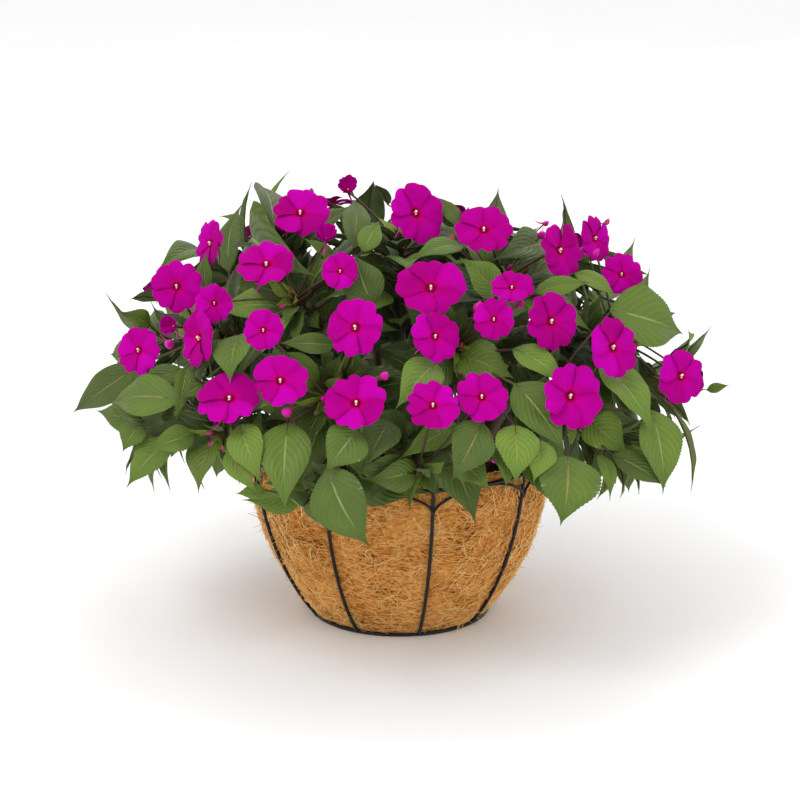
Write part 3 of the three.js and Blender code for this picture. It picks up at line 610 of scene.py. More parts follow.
def add_sheet(piece, grid, marks, thickness, kinds, nature):
    """A closed thin sheet on a grid of places, whose two sides meet along its border."""
    rows, columns, _ = grid.shape
    normal = np.cross(np.gradient(grid, axis=1), np.gradient(grid, axis=0))
    normal /= np.maximum(np.linalg.norm(normal, axis=2, keepdims=True), 1e-9)
    inner = np.zeros((rows, columns), dtype=bool)
    inner[1:-1, 1:-1] = True
    offset = normal * (thickness / 2) * inner[..., None]
    back = (grid - offset)[inner]
    places = np.concatenate([(grid + offset).reshape(-1, 3), back])
    faces = grid_faces(rows, columns)
    back_index = np.arange(rows * columns).reshape(rows, columns)
    back_index[inner] = rows * columns + np.arange(len(back))
    back_faces = back_index.ravel()[faces][:, ::-1]
    all_marks = np.concatenate([marks.reshape(-1, 3), marks[inner]])
    piece.add(places, [(faces, kinds[0]), (back_faces, kinds[1])], all_marks, nature)


def add_turned(piece, place, axis, side, profile, sides, kind=0, nature=PLAIN,
               ridges=0, depth=0.0, twist=0.0):
    """A body of revolution about an axis from a profile of heights and radii; ridges may wind round it."""
    height, radius = np.asarray(profile, dtype=float).T[..., None]
    share = np.linspace(0, 1, len(height))[:, None]
    turn = turns(sides)
    reach = radius * (1 + depth * np.cos(ridges * (turn + twist * share)))
    grid = (place + height[..., None] * axis + (reach * np.cos(turn))[..., None] * side
            + (reach * np.sin(turn))[..., None] * np.cross(axis, side))
    add_wrapped(piece, grid, kind, grid_marks(grid, share), nature)


# Node materials

def linear(*rgb):
    """A colour given as 0 to 255 in sRGB."""
    shares = [c / 255 for c in rgb]
    return tuple([c / 12.92 if c <= 0.04045 else ((c + 0.055) / 1.055) ** 2.4 for c in shares] + [1.0])


class Value:
    """What a shader node puts out, so that sums of it can be written plainly."""

    def __init__(self, shader, socket):
        self.shader = shader
        self.socket = socket

    def __add__(self, other):
        return self.shader.math("ADD", self, other)

    def __sub__(self, other):
        return self.shader.math("SUBTRACT", self, other)

    def __mul__(self, other):
        return self.shader.math("MULTIPLY", self, other)

    def __pow__(self, other):
        return self.shader.math("POWER", self, other)

    def __gt__(self, other):
        return self.shader.math("GREATER_THAN", self, other)

    def __abs__(self):
        return self.shader.math("ABSOLUTE", self)

    def varied(self, noise, share):
        """This value shifted up and down by a share of a noise."""
        return self + (noise - 0.5) * share


class Shader:
    """A material with one Principled surface, built node by node. Its colours are given as 0 to 255."""

    def __init__(self, name, **surface):
        self.material = bpy.data.materials.new(name)
        self.material.use_nodes = True
        self.tree = self.material.node_tree
        self.surface = self.tree.nodes["Principled BSDF"]
        for socket, value in surface.items():
            self.surface.inputs[socket.replace("_", " ")].default_value = value

    def give(self, socket, value):
        if isinstance(value, Value):
            self.tree.links.new(value.socket, socket)
        else:
            socket.default_value = value

    def node(self, kind, inputs=(), output=0, **settings):
        made = self.tree.nodes.new(kind)
        for key, value in settings.items():
            setattr(made, key, value)
        for name, value in dict(inputs).items():
            self.give(made.inputs[name], value)
        return Value(self, made.outputs[output])

    def math(self, operation, *values):
        return self.node("ShaderNodeMath", enumerate(values), operation=operation)

    def mix(self, share, first, second):
        """A share of the second colour over the first."""
        inputs = {0: share}
        for socket, colour in ((6, first), (7, second)):
            inputs[socket] = colour if isinstance(colour, Value) else linear(*colour)
        return self.node("ShaderNodeMix", inputs, output=2, data_type="RGBA")

    def ramp(self, value, *stops):
        """Colours along a value, each stop a position and a colour."""
        made = self.tree.nodes.new("ShaderNodeValToRGB")
        elements = made.color_ramp.elements
        while len(elements) < len(stops):
            elements.new(0.5)
        for element, (position, *rgb) in zip(elements, stops):
            element.position = position
            element.color = linear(*rgb)
        self.give(made.inputs[0], value)
        return Value(self, made.outputs[0])

    def between(self, value, low, high, bottom=0.0, top=1.0):
        """A smooth step of a value from bottom to top."""
        inputs = {0: value, 1: low, 2: high, 3: bottom, 4: top}
        return self.node("ShaderNodeMapRange", inputs, interpolation_type="SMOOTHSTEP")

    def parts(self, attribute):
        """The three numbers that a mesh keeps under this name for each place."""
        whole = self.node("ShaderNodeAttribute", output="Vector", attribute_name=attribute)
        return [self.node("ShaderNodeSeparateXYZ", {0: whole}, output) for output in range(3)]

    def noise(self, scale, detail=3.0, stretch=None, roughness=0.55):
        place = self.node("ShaderNodeTexCoord", output="Object")
        if stretch:
            place = self.node("ShaderNodeVectorMath", {0: place, 1: stretch}, operation="MULTIPLY")
        inputs = {"Vector": place, "Scale": scale, "Detail": detail, "Roughness": roughness}
        return self.node("ShaderNodeTexNoise", inputs)

    def finish(self, colour, height=None, depth=0.001, strength=1.0, roughness=None):
        self.give(self.surface.inputs["Base Color"], colour)
        if roughness is not None:
            self.give(self.surface.inputs["Roughness"], roughness)
        if height is not None:
            inputs = {"Strength": strength, "Distance": depth, "Height": height}
            self.give(self.surface.inputs["Normal"], self.node("ShaderNodeBump", inputs))
        return self.material


VEIN_PAIRS = 9
VEIN_SWEEP = 0.44
VEIN_CURVE = 1.12


def vein_field(shader):
    """How near a place is to a side vein, 1 on one, and how far along the leaf and off its midrib it is."""
    u, v, _ = shader.parts("marks")
    off = abs(v)
    phase = (u - off**VEIN_CURVE * VEIN_SWEEP) * VEIN_PAIRS + (v > 0.0) * 0.5 + shader.noise(30.0, 1.0) * 0.25
    near = abs(shader.math("FRACT", phase) - 0.5) * 2.0
    return near, u, off


def leaf_upper():
    shader = Shader("leaf_upper", Roughness=0.5, Specular_IOR_Level=0.3)
    near, u, off = vein_field(shader)
    tone, seed, youth = shader.parts("nature")
    patches = shader.noise(26.0)
    green = shader.ramp(tone.varied(patches, 0.35), (0.0, 46, 58, 16), (0.35, 74, 94, 32),
                        (0.7, 104, 130, 42), (1.0, 140, 166, 56))
    quilt = shader.between(near, 0.2, 1.0)
    # Painted shade: the green darkens towards each side vein, where the sunken vein grooves lie in shade.
    green = shader.mix(quilt * 0.22, green, (44, 62, 22))
    green = shader.mix(shader.between(near, 0.88, 1.0) * 0.22, green, (146, 162, 92))
    rib = shader.between(off, 0.055, 0.012)
    tip_fade = shader.between(u, 0.35, 0.95, 0.62, 0.12)
    rib_colour = shader.ramp(seed, (0.45, 160, 178, 108), (0.95, 168, 134, 98))
    green = shader.mix(rib * tip_fade, green, rib_colour)
    young = shader.mix(shader.between(near, 0.6, 1.0), (134, 156, 56), (96, 56, 36))
    green = shader.mix(youth, green, young)
    height = shader.noise(420.0, 2.0) * 0.12 - quilt - rib * 0.8
    roughness = shader.between(patches, 0.3, 0.7, 0.44, 0.58)
    return shader.finish(green, height, depth=0.0008, strength=0.6, roughness=roughness)


def leaf_under():
    shader = Shader("leaf_under", Roughness=0.6, Specular_IOR_Level=0.35)
    near, _, off = vein_field(shader)
    tone, _, youth = shader.parts("nature")
    level = tone.varied(shader.noise(24.0), 0.4)
    green = shader.ramp(level, (0.0, 88, 106, 64), (0.6, 120, 138, 86), (1.0, 150, 170, 92))
    ridge = shader.math("MAXIMUM", shader.between(near, 0.84, 1.0), shader.between(off, 0.09, 0.03))
    green = shader.mix(ridge * 0.5, green, (150, 96, 84))
    green = shader.mix(youth * 0.6, green, (128, 70, 60))
    return shader.finish(green, ridge + shader.noise(380.0, 2.0) * 0.15, depth=0.0009, strength=0.6)


def stem_skin():
    shader = Shader("stem_skin", Roughness=0.42, Specular_IOR_Level=0.45)
    redness = shader.parts("nature")[1]
    flecks = shader.noise(120.0)
    level = redness.varied(flecks, 0.5)
    colour = shader.ramp(level, (0.0, 86, 104, 42), (0.5, 74, 62, 30), (1.0, 62, 24, 18))
    ribs = shader.noise(60.0, 2.0, (6.0, 6.0, 0.6))
    return shader.finish(colour, ribs + flecks, depth=0.0005, strength=0.5)


def petal_skin():
    """A petal: its first mark runs from the eye to the edge, its second from one side to the other."""
    shader = Shader("petal", Roughness=0.8, Specular_IOR_Level=0.03)
    reach, sideways, _ = shader.parts("marks")
    clouds = shader.noise(55.0)
    level = shader.parts("nature")[0].varied(clouds, 0.5)
    magenta = shader.ramp(level, (0.1, 146, 0, 98), (0.5, 172, 0, 136), (0.9, 192, 2, 174))
    fans = abs(shader.math("SINE", sideways * 26.0 + clouds * 3.0))
    veins = shader.between(fans, 0.0, 0.35, 1.0, 0.0)
    magenta = shader.mix(veins * 0.16, magenta, (146, 0, 86))
    # Painted shade: each petal darkens towards its sides, where petals overlap and shade each other.
    magenta = shader.mix(shader.between(abs(sideways), 0.62, 1.0) * 0.38, magenta, (150, 0, 84))
    magenta = shader.mix(shader.between(reach, 0.5, 0.14) * 0.45, magenta, (198, 0, 96))
    magenta = shader.mix(shader.between(reach, 0.24, 0.12), magenta, (128, 0, 40))
    return shader.finish(magenta, shader.noise(260.0, 2.0) * 0.5 - veins, depth=0.0005, strength=0.45)


def column_wax():
    shader = Shader("column", Roughness=0.4, Specular_IOR_Level=0.5, Subsurface_Weight=0.1)
    grain = shader.noise(900.0, 2.0)
    level = shader.parts("marks")[0] + grain * 0.2
    colour = shader.ramp(level, (0.25, 226, 120, 176), (0.6, 246, 226, 214), (0.95, 240, 222, 150))
    return shader.finish(colour, grain, depth=0.0003, strength=0.5)


def bud_skin():
    shader = Shader("bud", Roughness=0.5, Specular_IOR_Level=0.35)
    streaks = shader.noise(160.0)
    level = shader.parts("marks")[0].varied(streaks, 0.4)
    ripe = shader.ramp(level, (0.1, 150, 20, 70), (0.5, 206, 14, 140), (1.0, 206, 0, 170))
    green = shader.ramp(level, (0.1, 110, 122, 62), (0.7, 140, 70, 62), (1.0, 150, 24, 64))
    ripeness = shader.between(shader.parts("nature")[1], 0.35, 0.65)
    return shader.finish(shader.mix(ripeness, green, ripe), streaks, depth=0.0006, strength=0.5)


def wire_paint():
    shader = Shader("wire_paint", Roughness=0.3, Specular_IOR_Level=0.32)
    chips = shader.noise(130.0, 5.0)
    dust = shader.noise(34.0, 4.0)
    colour = shader.ramp(dust, (0.4, 9, 9, 10), (0.8, 26, 25, 24))
    colour = shader.mix(shader.between(chips, 0.66, 0.72), colour, (96, 70, 52))
    roughness = shader.between(dust, 0.3, 0.75, 0.2, 0.45)
    return shader.finish(colour, chips, depth=0.0004, strength=0.35, roughness=roughness)


def coir_felt():
    shader = Shader("coir_felt", Roughness=0.95, Specular_IOR_Level=0.15)
    streaks = shader.noise(150.0, 6.0, (1.0, 1.0, 2.6), 0.7)
    level = streaks.varied(shader.noise(22.0, 4.0), 0.5)
    colour = shader.ramp(level, (0.34, 100, 54, 18), (0.48, 204, 132, 58), (0.62, 246, 184, 100))
    return shader.finish(colour, streaks, depth=0.003)


def coir_fibre():
    shader = Shader("coir_fibre", Roughness=0.7, Specular_IOR_Level=0.3)
    flecks = shader.noise(260.0)
    level = shader.parts("nature")[0].varied(flecks, 0.35)
    colour = shader.ramp(level, (0.0, 168, 106, 42), (0.4, 238, 176, 90), (1.0, 255, 232, 164))
    return shader.finish(colour, flecks, depth=0.0002, strength=0.3)


def soil_crumb():
    shader = Shader("soil_crumb", Roughness=0.95, Specular_IOR_Level=0.2)
    crumbs = shader.noise(240.0, 6.0)
    level = (crumbs + shader.noise(60.0, 4.0)) * 0.5
    colour = shader.ramp(level, (0.35, 22, 14, 9), (0.55, 52, 36, 26), (0.7, 92, 68, 50))
    return shader.finish(colour, crumbs, depth=0.002)


LEAF_KINDS = [leaf_upper(), leaf_under(), stem_skin()]
UPPER, UNDER, SKIN = range(3)
BLOOM_KINDS = [petal_skin(), LEAF_KINDS[SKIN], column_wax(), bud_skin()]
PETAL, GREEN, COLUMN, BUD = range(4)


# Basket

WIRE_SIDES = 10
RIM_EXTRA = 0.3
WAVE_SIDES = 8
WAVE_FOOT = 147
WAVE_RISE = 22
WAVE_ROUNDNESS = 0.55
WAVE_INWARD = 0.03
WAVE_WIRE_RADIUS = 1.4
WELD = [[-2.4, 0.3], [-1.8, 1.4], [0, 2.3], [1.8, 1.4], [2.4, 0.3]]
WELD_PLACES = [[RING_RADIUS + 1, 2.6], [RIM_RADIUS, RIM_HEIGHT]]


def side_point(share):
    return bezier(SIDE_ENDS, share)


def ring_axis(radius, height, steps):
    return np.array([outward(azimuth) * radius + UP * height for azimuth in FIRST_UPRIGHT + turns(steps)])


def wave_axis(steps):
    """The thin wire that dips to each upright and rises to the rim between them."""
    points = []
    for azimuth in FIRST_UPRIGHT + turns(steps):
        arch = abs(math.sin(UPRIGHTS * (azimuth - FIRST_UPRIGHT) / 2)) ** WAVE_ROUNDNESS
        height = WAVE_FOOT + WAVE_RISE * arch
        points.append(outward(azimuth) * (RIM_RADIUS - WAVE_INWARD * (RIM_HEIGHT - height)) + UP * height)
    return np.array(points)


def add_ring(piece, axis, radius, sides):
    """A closed ring of round wire along an axis whose last point joins its first."""
    rings = []
    for before, point, after in zip(np.roll(axis, 1, axis=0), axis, np.roll(axis, -1, axis=0)):
        heading = unit(after - before)
        out = across(point * [1, 1, 0], heading)
        rings.append(ring_places(point, out, np.cross(heading, out), radius, turns(sides, 0.5)))
    faces = grid_faces(len(axis) + 1, sides, closed=True) % (len(axis) * sides)
    piece.add(np.concatenate(rings), [(faces, 0)])


def basket_wires():
    piece = Piece("basket_wires", "wire", [wire_paint()])
    add_ring(piece, ring_axis(RING_RADIUS, WIRE_RADIUS, 144), WIRE_RADIUS, WIRE_SIDES)
    add_ring(piece, ring_axis(RIM_RADIUS, RIM_HEIGHT, 180), WIRE_RADIUS + RIM_EXTRA, WIRE_SIDES)
    add_ring(piece, wave_axis(252), WAVE_WIRE_RADIUS, WAVE_SIDES)
    line = side_point(np.linspace(0, 1, 26))
    for azimuth in FIRST_UPRIGHT + turns(UPRIGHTS):
        out = outward(azimuth)
        add_tube(piece, line[:, :1] * out + line[:, 1:] * UP, WIRE_RADIUS, WIRE_SIDES)
        for radius, height in WELD_PLACES:
            add_turned(piece, out * radius + UP * height, np.cross(UP, out), out, WELD, WIRE_SIDES)
    piece.build("wire_frame")


FELT_OUTSIDE = WIRE_RADIUS + PRESS
LINER_FOOT = RING_RADIUS - FELT_OUTSIDE - GAP


def liner_profile(steps):
    """Radii and heights of the felt's surface, from under its floor up its outside and over its lip."""
    half = LINER_THICKNESS / 2
    side = side_point(np.linspace(0.1, 1, steps)) - [FELT_OUTSIDE, 0]
    side[-1] = [RIM_RADIUS - FELT_OUTSIDE, RIM_HEIGHT]
    lip_middle = np.array([RIM_RADIUS - FELT_OUTSIDE - half, LINER_TOP - half])
    turn = np.linspace(0, math.pi, 9)
    lip = lip_middle + half * np.stack([np.cos(turn), np.sin(turn)], axis=1)
    floor = [[0.01, 0.8], [30, 0.7], [60, 0.6], [LINER_FOOT - 5, 0.6], [LINER_FOOT - 0.5, 3]]
    inner = [[lip_middle[0] - half, SOIL_TOP - 6]]
    return np.concatenate([floor, side, lip, inner])


PROFILE = liner_profile(22)
PROFILE_RUN = np.concatenate([[0], np.cumsum(np.linalg.norm(np.diff(PROFILE, axis=0), axis=1))])
LOWEST_FELT = 0.25


def profile_at(run):
    """Radius and height of the felt at a run along its profile."""
    return np.interp(run, PROFILE_RUN, PROFILE[:, 0]), np.interp(run, PROFILE_RUN, PROFILE[:, 1])


def on_liner(run, azimuth, stand):
    """A place on the felt, by the run along its profile, its azimuth and how far it stands off the felt."""
    radius, height = profile_at(run)
    widen, rise = np.subtract(profile_at(run + 2.0), profile_at(run - 2.0))
    length = np.maximum(np.hypot(rise, widen), 1e-6)
    out, up = rise / length, -widen / length
    share = np.clip((height - 6) / 60, 0, 1) * np.clip((RIM_HEIGHT - height) / 25, 0, 1) * np.clip(out, 0, 1)
    between = 0.5 - 0.5 * np.cos(UPRIGHTS * (azimuth - FIRST_UPRIGHT))
    radius = radius + out * stand + LINER_BULGE * between * share
    height = np.maximum(height + up * stand, LOWEST_FELT)
    return np.stack([radius * np.sin(azimuth), -radius * np.cos(azimuth), height], axis=-1)


FELT_ROWS = 60
FELT_COLUMNS = 200
FELT_LUMP = 0.5
FELT_DEPTH = 1.0


def coir_liner():
    piece = Piece("coir_felt", "coir", [coir_felt()])
    random = np.random.default_rng(11)
    runs = np.linspace(0, PROFILE_RUN[-1], FELT_ROWS)
    lumps = random.normal(0, FELT_LUMP, (FELT_ROWS, FELT_COLUMNS))
    lumps = (lumps + np.roll(lumps, 1, axis=1) + np.roll(lumps, -1, axis=1)) / 2
    add_wrapped(piece, on_liner(runs[:, None], turns(FELT_COLUMNS)[None, :], lumps - FELT_DEPTH))
    piece.build("coir_liner")


FIBRES = 7500
STRAYS = 420
FIBRE_STEPS = 5
FIBRE_SIDES = 3
FIBRE_STEP = (3.5, 8.5)
FIBRE_STAND = (-0.7, 1.1)
FIBRE_THICKNESS = (0.22, 0.45)
FIBRE_LIFT = 1.2
STRAY_LIFT = 5.0


def fibre_lines(random, count, loose):
    """Lines that wander over the felt, a row of places each; the ends of a loose one lift off it."""
    step = random.uniform(*FIBRE_STEP, count)
    run = random.uniform(PROFILE_RUN[4] - 12, PROFILE_RUN[-1] - 6, count)
    azimuth = random.uniform(0, 2 * math.pi, count)
    heading = random.normal(0, 0.7, count) + math.pi * random.integers(0, 2, count)
    bend = random.normal(0, 0.3, count)
    base = random.uniform(*FIBRE_STAND, count)
    lift = np.abs(random.normal(0, loose, count))
    runs, azimuths, stands = [], [], []
    for k in range(FIBRE_STEPS):
        runs.append(run)
        azimuths.append(azimuth)
        free = abs(2 * k / (FIBRE_STEPS - 1) - 1) ** 3
        stands.append(base + lift * free + random.normal(0, 0.25, count))
        radius, _ = profile_at(run)
        run = np.clip(run + step * np.sin(heading), PROFILE_RUN[3], PROFILE_RUN[-1] - 4)
        azimuth = azimuth + step * np.cos(heading) / np.maximum(radius, 40)
        bend = bend + random.normal(0, 0.2, count)
        heading = heading + bend
    return on_liner(np.array(runs).T, np.array(azimuths).T, np.array(stands).T)


def coir_fibres(name, count, seed, material, loose):
    """Coconut fibres on the felt, three-sided and thinner at their ends."""
    piece = Piece(name, "coir", [material])
    random = np.random.default_rng(seed)
    axis = fibre_lines(random, count, loose)
    ahead = np.gradient(axis, axis=1)
    ahead /= np.linalg.norm(ahead, axis=2, keepdims=True)
    out = axis * [1, 1, 0] + [0, 0, 1]
    out = out - ahead * np.sum(out * ahead, axis=2, keepdims=True)
    out /= np.linalg.norm(out, axis=2, keepdims=True)
    other = np.cross(ahead, out)
    thick = random.uniform(*FIBRE_THICKNESS, count)[:, None, None]
    thick = thick * np.sin(np.linspace(0.25, math.pi - 0.25, FIBRE_STEPS))[None, :, None] ** 0.4
    sides = [axis + thick * (math.cos(turn) * out + math.sin(turn) * other) for turn in turns(FIBRE_SIDES)]
    size = FIBRE_STEPS * FIBRE_SIDES
    offsets = np.arange(count)[:, None, None] * size
    faces = (grid_faces(FIBRE_STEPS, FIBRE_SIDES, closed=True)[None] + offsets).reshape(-1, 4)
    ends = (np.array([[2, 1, 0], [size - 3, size - 2, size - 1]])[None] + offsets).reshape(-1, 3)
    tone = np.clip(random.normal(0.55, 0.26, count), 0, 1)
    nature = np.repeat(np.stack([tone, tone, tone], axis=1), size, axis=0)
    piece.add(np.stack(sides, axis=2), [(faces, 0), (ends, 0)], None, nature)
    piece.build()


SOIL_COLUMNS = 90
SOIL_RINGS = 32
SOIL_HIGH = SOIL_TOP - 1.6
SOIL_ROUGH = 0.8
SOIL_LUMP = 1.4


def soil_bed():
    """Potting soil inside the liner, with a crumbled top."""
    piece = Piece("soil_bed", "soil", [soil_crumb()])
    random = np.random.default_rng(23)
    radii = np.concatenate([np.linspace(0.01, 138, SOIL_RINGS), [139, 120, 84, 60]])[:, None]
    heights = np.concatenate([np.full(SOIL_RINGS, SOIL_HIGH), [SOIL_TOP - 12, 60, 14, 11]])[:, None]
    rough = np.where(np.arange(len(radii)) < SOIL_RINGS - 1, SOIL_ROUGH, 0)[:, None]
    lumps = random.normal(0, 1, (len(radii), SOIL_COLUMNS)) * rough
    heights = heights + np.clip(lumps, -SOIL_LUMP, SOIL_LUMP)
    heights[0] = SOIL_HIGH
    turn = turns(SOIL_COLUMNS)
    add_wrapped(piece, np.stack([radii * np.sin(turn), -radii * np.cos(turn), heights], axis=2))
    piece.build("soil")


# Fine leaves

WIDEST = 0.36
TOOTH = 3.2
TOOTH_DEPTH = 0.045
TOOTH_POINT = 0.78
TEETH_FROM = 0.055
TEETH_RUN = 0.9
BLADE_COLUMNS = np.array([-1, -0.7, -0.36, 0, 0.36, 0.7, 1])
BLADE_THICKNESS = 0.5
LEAF_CROWN = 0.11
LEAF_RIPPLE = 0.05
LEAF_QUILT = 0.01
LEAF_SICKLE = 0.025
RIB_PLACES = np.array([0.02, 0.15, 0.32, 0.5, 0.68, 0.85])
RIB_RADII = np.array([1.5, 1.25, 1.2, 1.0, 0.8, 0.6, 0.42, 0.22])
RIB_SIDES = 6
RIB_DEPTH = 0.35
FULL_RIB_WIDTH = 26
COARSE_TOOTH = 6.0
COARSE_COLUMNS = np.array([-1, -0.5, 0, 0.5, 1])
COARSE_RIB_PLACES = np.array([0.02, 0.1])


def blade_width(u, widest):
    """Share of the half width at a share of the length: wedge-shaped base, drawn-out tip."""
    rising = np.clip(u / widest, 0, 1)
    falling = np.clip((u - widest) / (1 - widest), 0, 1)
    base = (1 - (1 - rising) ** 2) ** 0.82
    tip = (1 - falling) ** 2 * (1 + 2.2 * falling)
    return np.where(u < widest, base, tip)


def blade_stations(length, tooth):
    """Places along a blade: the notch and the point of each tooth, and whether it is a point."""
    teeth = max(5, round(length / tooth))
    pitch = TEETH_RUN / teeth
    notches = TEETH_FROM + pitch * np.arange(teeth)
    u = np.stack([notches, notches + TOOTH_POINT * pitch], axis=1).ravel()
    point = np.tile([0.0, 1.0], teeth)
    return np.concatenate([[0, 0.028], u, [0.972, 0.992]]), np.concatenate([[0, 0], point, [0, 0]])


def blade_relief(leaf, half, u, v, width):
    """How far a blade stands up: its crowned halves, rippled margin and quilted fields between the veins."""
    keys = leaf.keys
    off = np.abs(v)
    hump = 4 * off * (1 - off)
    belly = np.sin(math.pi * u)
    ripple = np.sin(2 * math.pi * (2.2 + draw(32, *keys)) * u + 6 * draw(33, *keys) + (v > 0) * 2.1)
    phase = VEIN_PAIRS * (u - VEIN_SWEEP * off**VEIN_CURVE) + 0.5 * (v > 0)
    quilt = (1 - np.cos(2 * math.pi * phase)) * hump * belly
    return half * (LEAF_CROWN * width * hump + LEAF_RIPPLE * off**2 * ripple * belly + LEAF_QUILT * quilt)


def add_leaf(piece, leaf, tone, youth=0.0, fine=True):
    keys = leaf.keys
    u, point = blade_stations(leaf.length, TOOTH if fine else COARSE_TOOTH)
    v = (BLADE_COLUMNS if fine else COARSE_COLUMNS)[None, :]
    half = leaf.width / 2
    width = blade_width(u, WIDEST + jitter(0.04, 31, *keys))
    edge = half * (np.maximum(width, 0.012) + point * TOOTH_DEPTH * np.clip(2 * width, 0.25, 1))
    edge = np.maximum(edge, np.where(u < 0.05, PETIOLE_RADIUS, 0.25))[:, None]
    sickle = jitter(LEAF_SICKLE, 34, *keys) * leaf.length * leaf.side
    rib_u = (RIB_PLACES if fine else COARSE_RIB_PLACES)[:, None]
    rib = on_leaf(leaf, rib_u[:, 0], 0, -RIB_DEPTH) + np.sin(math.pi * rib_u) * sickle
    u = u[:, None]
    grid = on_leaf(leaf, u, edge * v, blade_relief(leaf, half, u, v, width[:, None]))
    grid = grid + np.sin(math.pi * u)[..., None] * sickle
    nature = (tone, draw(35, *keys), youth)
    add_sheet(piece, grid, grid_marks(grid, u, v), BLADE_THICKNESS, (UPPER, UNDER), nature)
    bow = -0.06 * np.linalg.norm(leaf.foot - leaf.root) * leaf.face
    petiole = np.array([leaf.root, (leaf.root + leaf.foot) / 2 + bow])
    radii = RIB_RADII[:len(rib) + 2] * min(1, leaf.width / FULL_RIB_WIDTH)
    nature = (tone, 0.45 + 0.5 * draw(36, *keys), youth)
    add_tube(piece, np.concatenate([petiole, rib]), radii, RIB_SIDES, SKIN, nature)


# Fine blooms

PETAL_SPAN = math.radians(43)
PETAL_REACHES = np.array([0.06, 0.15, 0.28, 0.42, 0.56, 0.7, 0.82, 0.92, 1.0])
PETAL_COLUMNS = 13
PETAL_THICKNESS = 0.45
HALF_OPEN_RADIUS = 14.5
HALF_OPEN_CUP = 0.75
EYE_TIP = 0.6
EYE_PROFILE = [[-0.33, 0], [-0.3, 0.05], [-0.2, 0.085], [-0.165, 0.1], [-0.175, 0.03]]
COLUMN_PROFILE = np.array([[0, 0.5], [1.2, 1.1], [2.8, 1.3], [4.0, 1.5], [4.8, 1.2], [5.2, 0.4]])
LUMP_PROFILE = np.array([[0, 0.3], [0.6, 0.9], [1.4, 1.0], [2.0, 0.3]])
SMALL_SIDES = 6


def petal_height(reach, angle, own, cup):
    """Height of a petal over the bloom's plane, in radii, by its reach from the eye and its angle."""
    bowl = -2 * BLOOM_CUP * (1 - reach) ** 2.2
    tilt = 0.06 * np.sin(1.35 * angle) * reach
    droop = jitter(0.05, *own, 5) * reach**2
    ruffle = 0.034 * np.sin(7 * angle + 6 * draw(*own, 6)) * reach**3
    curl = -0.05 * reach**6 * (1 + 0.5 * angle**2)
    return 0.012 + bowl + tilt + droop + ruffle + curl + cup * reach**2


def petal_edge(angle, own):
    """Reach of a petal's edge, in radii: rounded, with a notch in the middle."""
    size = 1.0 + jitter(0.07, *own, 1)
    notch = 0.04 + 0.14 * draw(*own, 2)
    edge = size * (1 - 0.2 * np.abs(angle) ** 4 - notch * np.exp(-((angle / 0.17) ** 2)))
    return edge + 0.012 * np.sin(9 * angle + 6 * draw(*own, 3))


def add_bloom(piece, flower):
    radius = flower.radius
    cup = HALF_OPEN_CUP if radius < HALF_OPEN_RADIUS else 0.0
    angle = np.linspace(-1, 1, PETAL_COLUMNS)[None, :]
    reach = PETAL_REACHES[:, None]
    for petal, middle in enumerate(flower.spin + turns(PETALS)):
        own = [40 + petal, *flower.keys]
        turn = middle + jitter(0.05, *own, 4) + angle * PETAL_SPAN
        spread = radius * reach * petal_edge(angle, own) * (1 - 0.35 * cup * reach)
        grid = on_bloom(flower, turn, spread, radius * petal_height(reach, angle, own, cup))
        nature = (0.5 + jitter(0.22, *own, 7), draw(*own, 8), 0)
        add_sheet(piece, grid, grid_marks(grid, reach, angle), PETAL_THICKNESS, (PETAL, PETAL), nature)
    add_heart(piece, flower)
    add_stalk_and_spur(piece, flower)


def add_heart(piece, flower):
    """The small column in the eye, a pale lump under it, and the dark throat behind them."""
    radius = flower.radius
    throat = radius * np.array(EYE_PROFILE)
    throat[0, 1] = EYE_TIP
    add_turned(piece, flower.centre, flower.facing, flower.side, throat, 10, PETAL, (0.2, 0.5, 0))
    lean = unit(flower.facing + 0.3 * SIGHT_UP * (1 if flower.facing @ UP < 0.8 else 0))
    side = across(flower.side, lean)
    size = 0.8 * min(radius / 24, 1.15)
    start = flower.centre - 0.17 * radius * flower.facing
    below = start - 1.8 * size * across(UP, flower.facing) + 1.2 * flower.facing
    add_turned(piece, start, lean, side, COLUMN_PROFILE * size, 8, COLUMN, (0.5, 0.5, 0))
    add_turned(piece, below, lean, side, LUMP_PROFILE * size, 7, COLUMN, (0.5, 0.5, 0))


def add_stalk_and_spur(piece, flower):
    radius = flower.radius
    redness = 0.3 + 0.6 * draw(50, *flower.keys)
    line = bezier(pedicel_ends(flower), np.linspace(0, 1, 12))
    radii = np.linspace(PEDICEL_RADIUS, PEDICEL_RADIUS - 0.25, 12)
    add_tube(piece, line, radii, SMALL_SIDES, GREEN, (0.5, redness, 0))
    down = across(-UP, flower.facing) if abs(flower.facing[2]) < 0.95 else flower.side
    swing = radius * swung(down, flower.facing, jitter(0.9, 51, *flower.keys))
    depth = radius * flower.facing
    start = flower.centre - 0.24 * depth
    spur = bezier([start, start - 0.45 * depth + 0.15 * swing, start - 0.55 * depth + 0.85 * swing],
                  np.linspace(0, 1, 10))
    add_tube(piece, spur, np.linspace(1.5, 0.45, 10), SMALL_SIDES, BUD, (0.5, 0.8, 0))
    for turn in (flower.spin, flower.spin + math.pi):
        out = flower.side * math.cos(turn) + flower.other * math.sin(turn)
        heading = unit(out - 0.9 * flower.facing)
        face = across(flower.facing, heading)
        add_sepal(piece, make_leaf(flower.stem, start, start, heading, face, 8, 4.5, flower.keys))


def add_sepal(piece, leaf):
    u = np.array([0, 0.2, 0.45, 0.7, 0.9, 0.99])[:, None]
    v = np.array([-1, 0, 1])[None, :]
    grid = on_leaf(leaf, u, leaf.width / 2 * np.maximum(blade_width(u, 0.4), 0.08) * v, 0)
    add_sheet(piece, grid, grid_marks(grid, u, v), 0.4, (GREEN, GREEN), (0.5, 0.35, 0))


# Buds

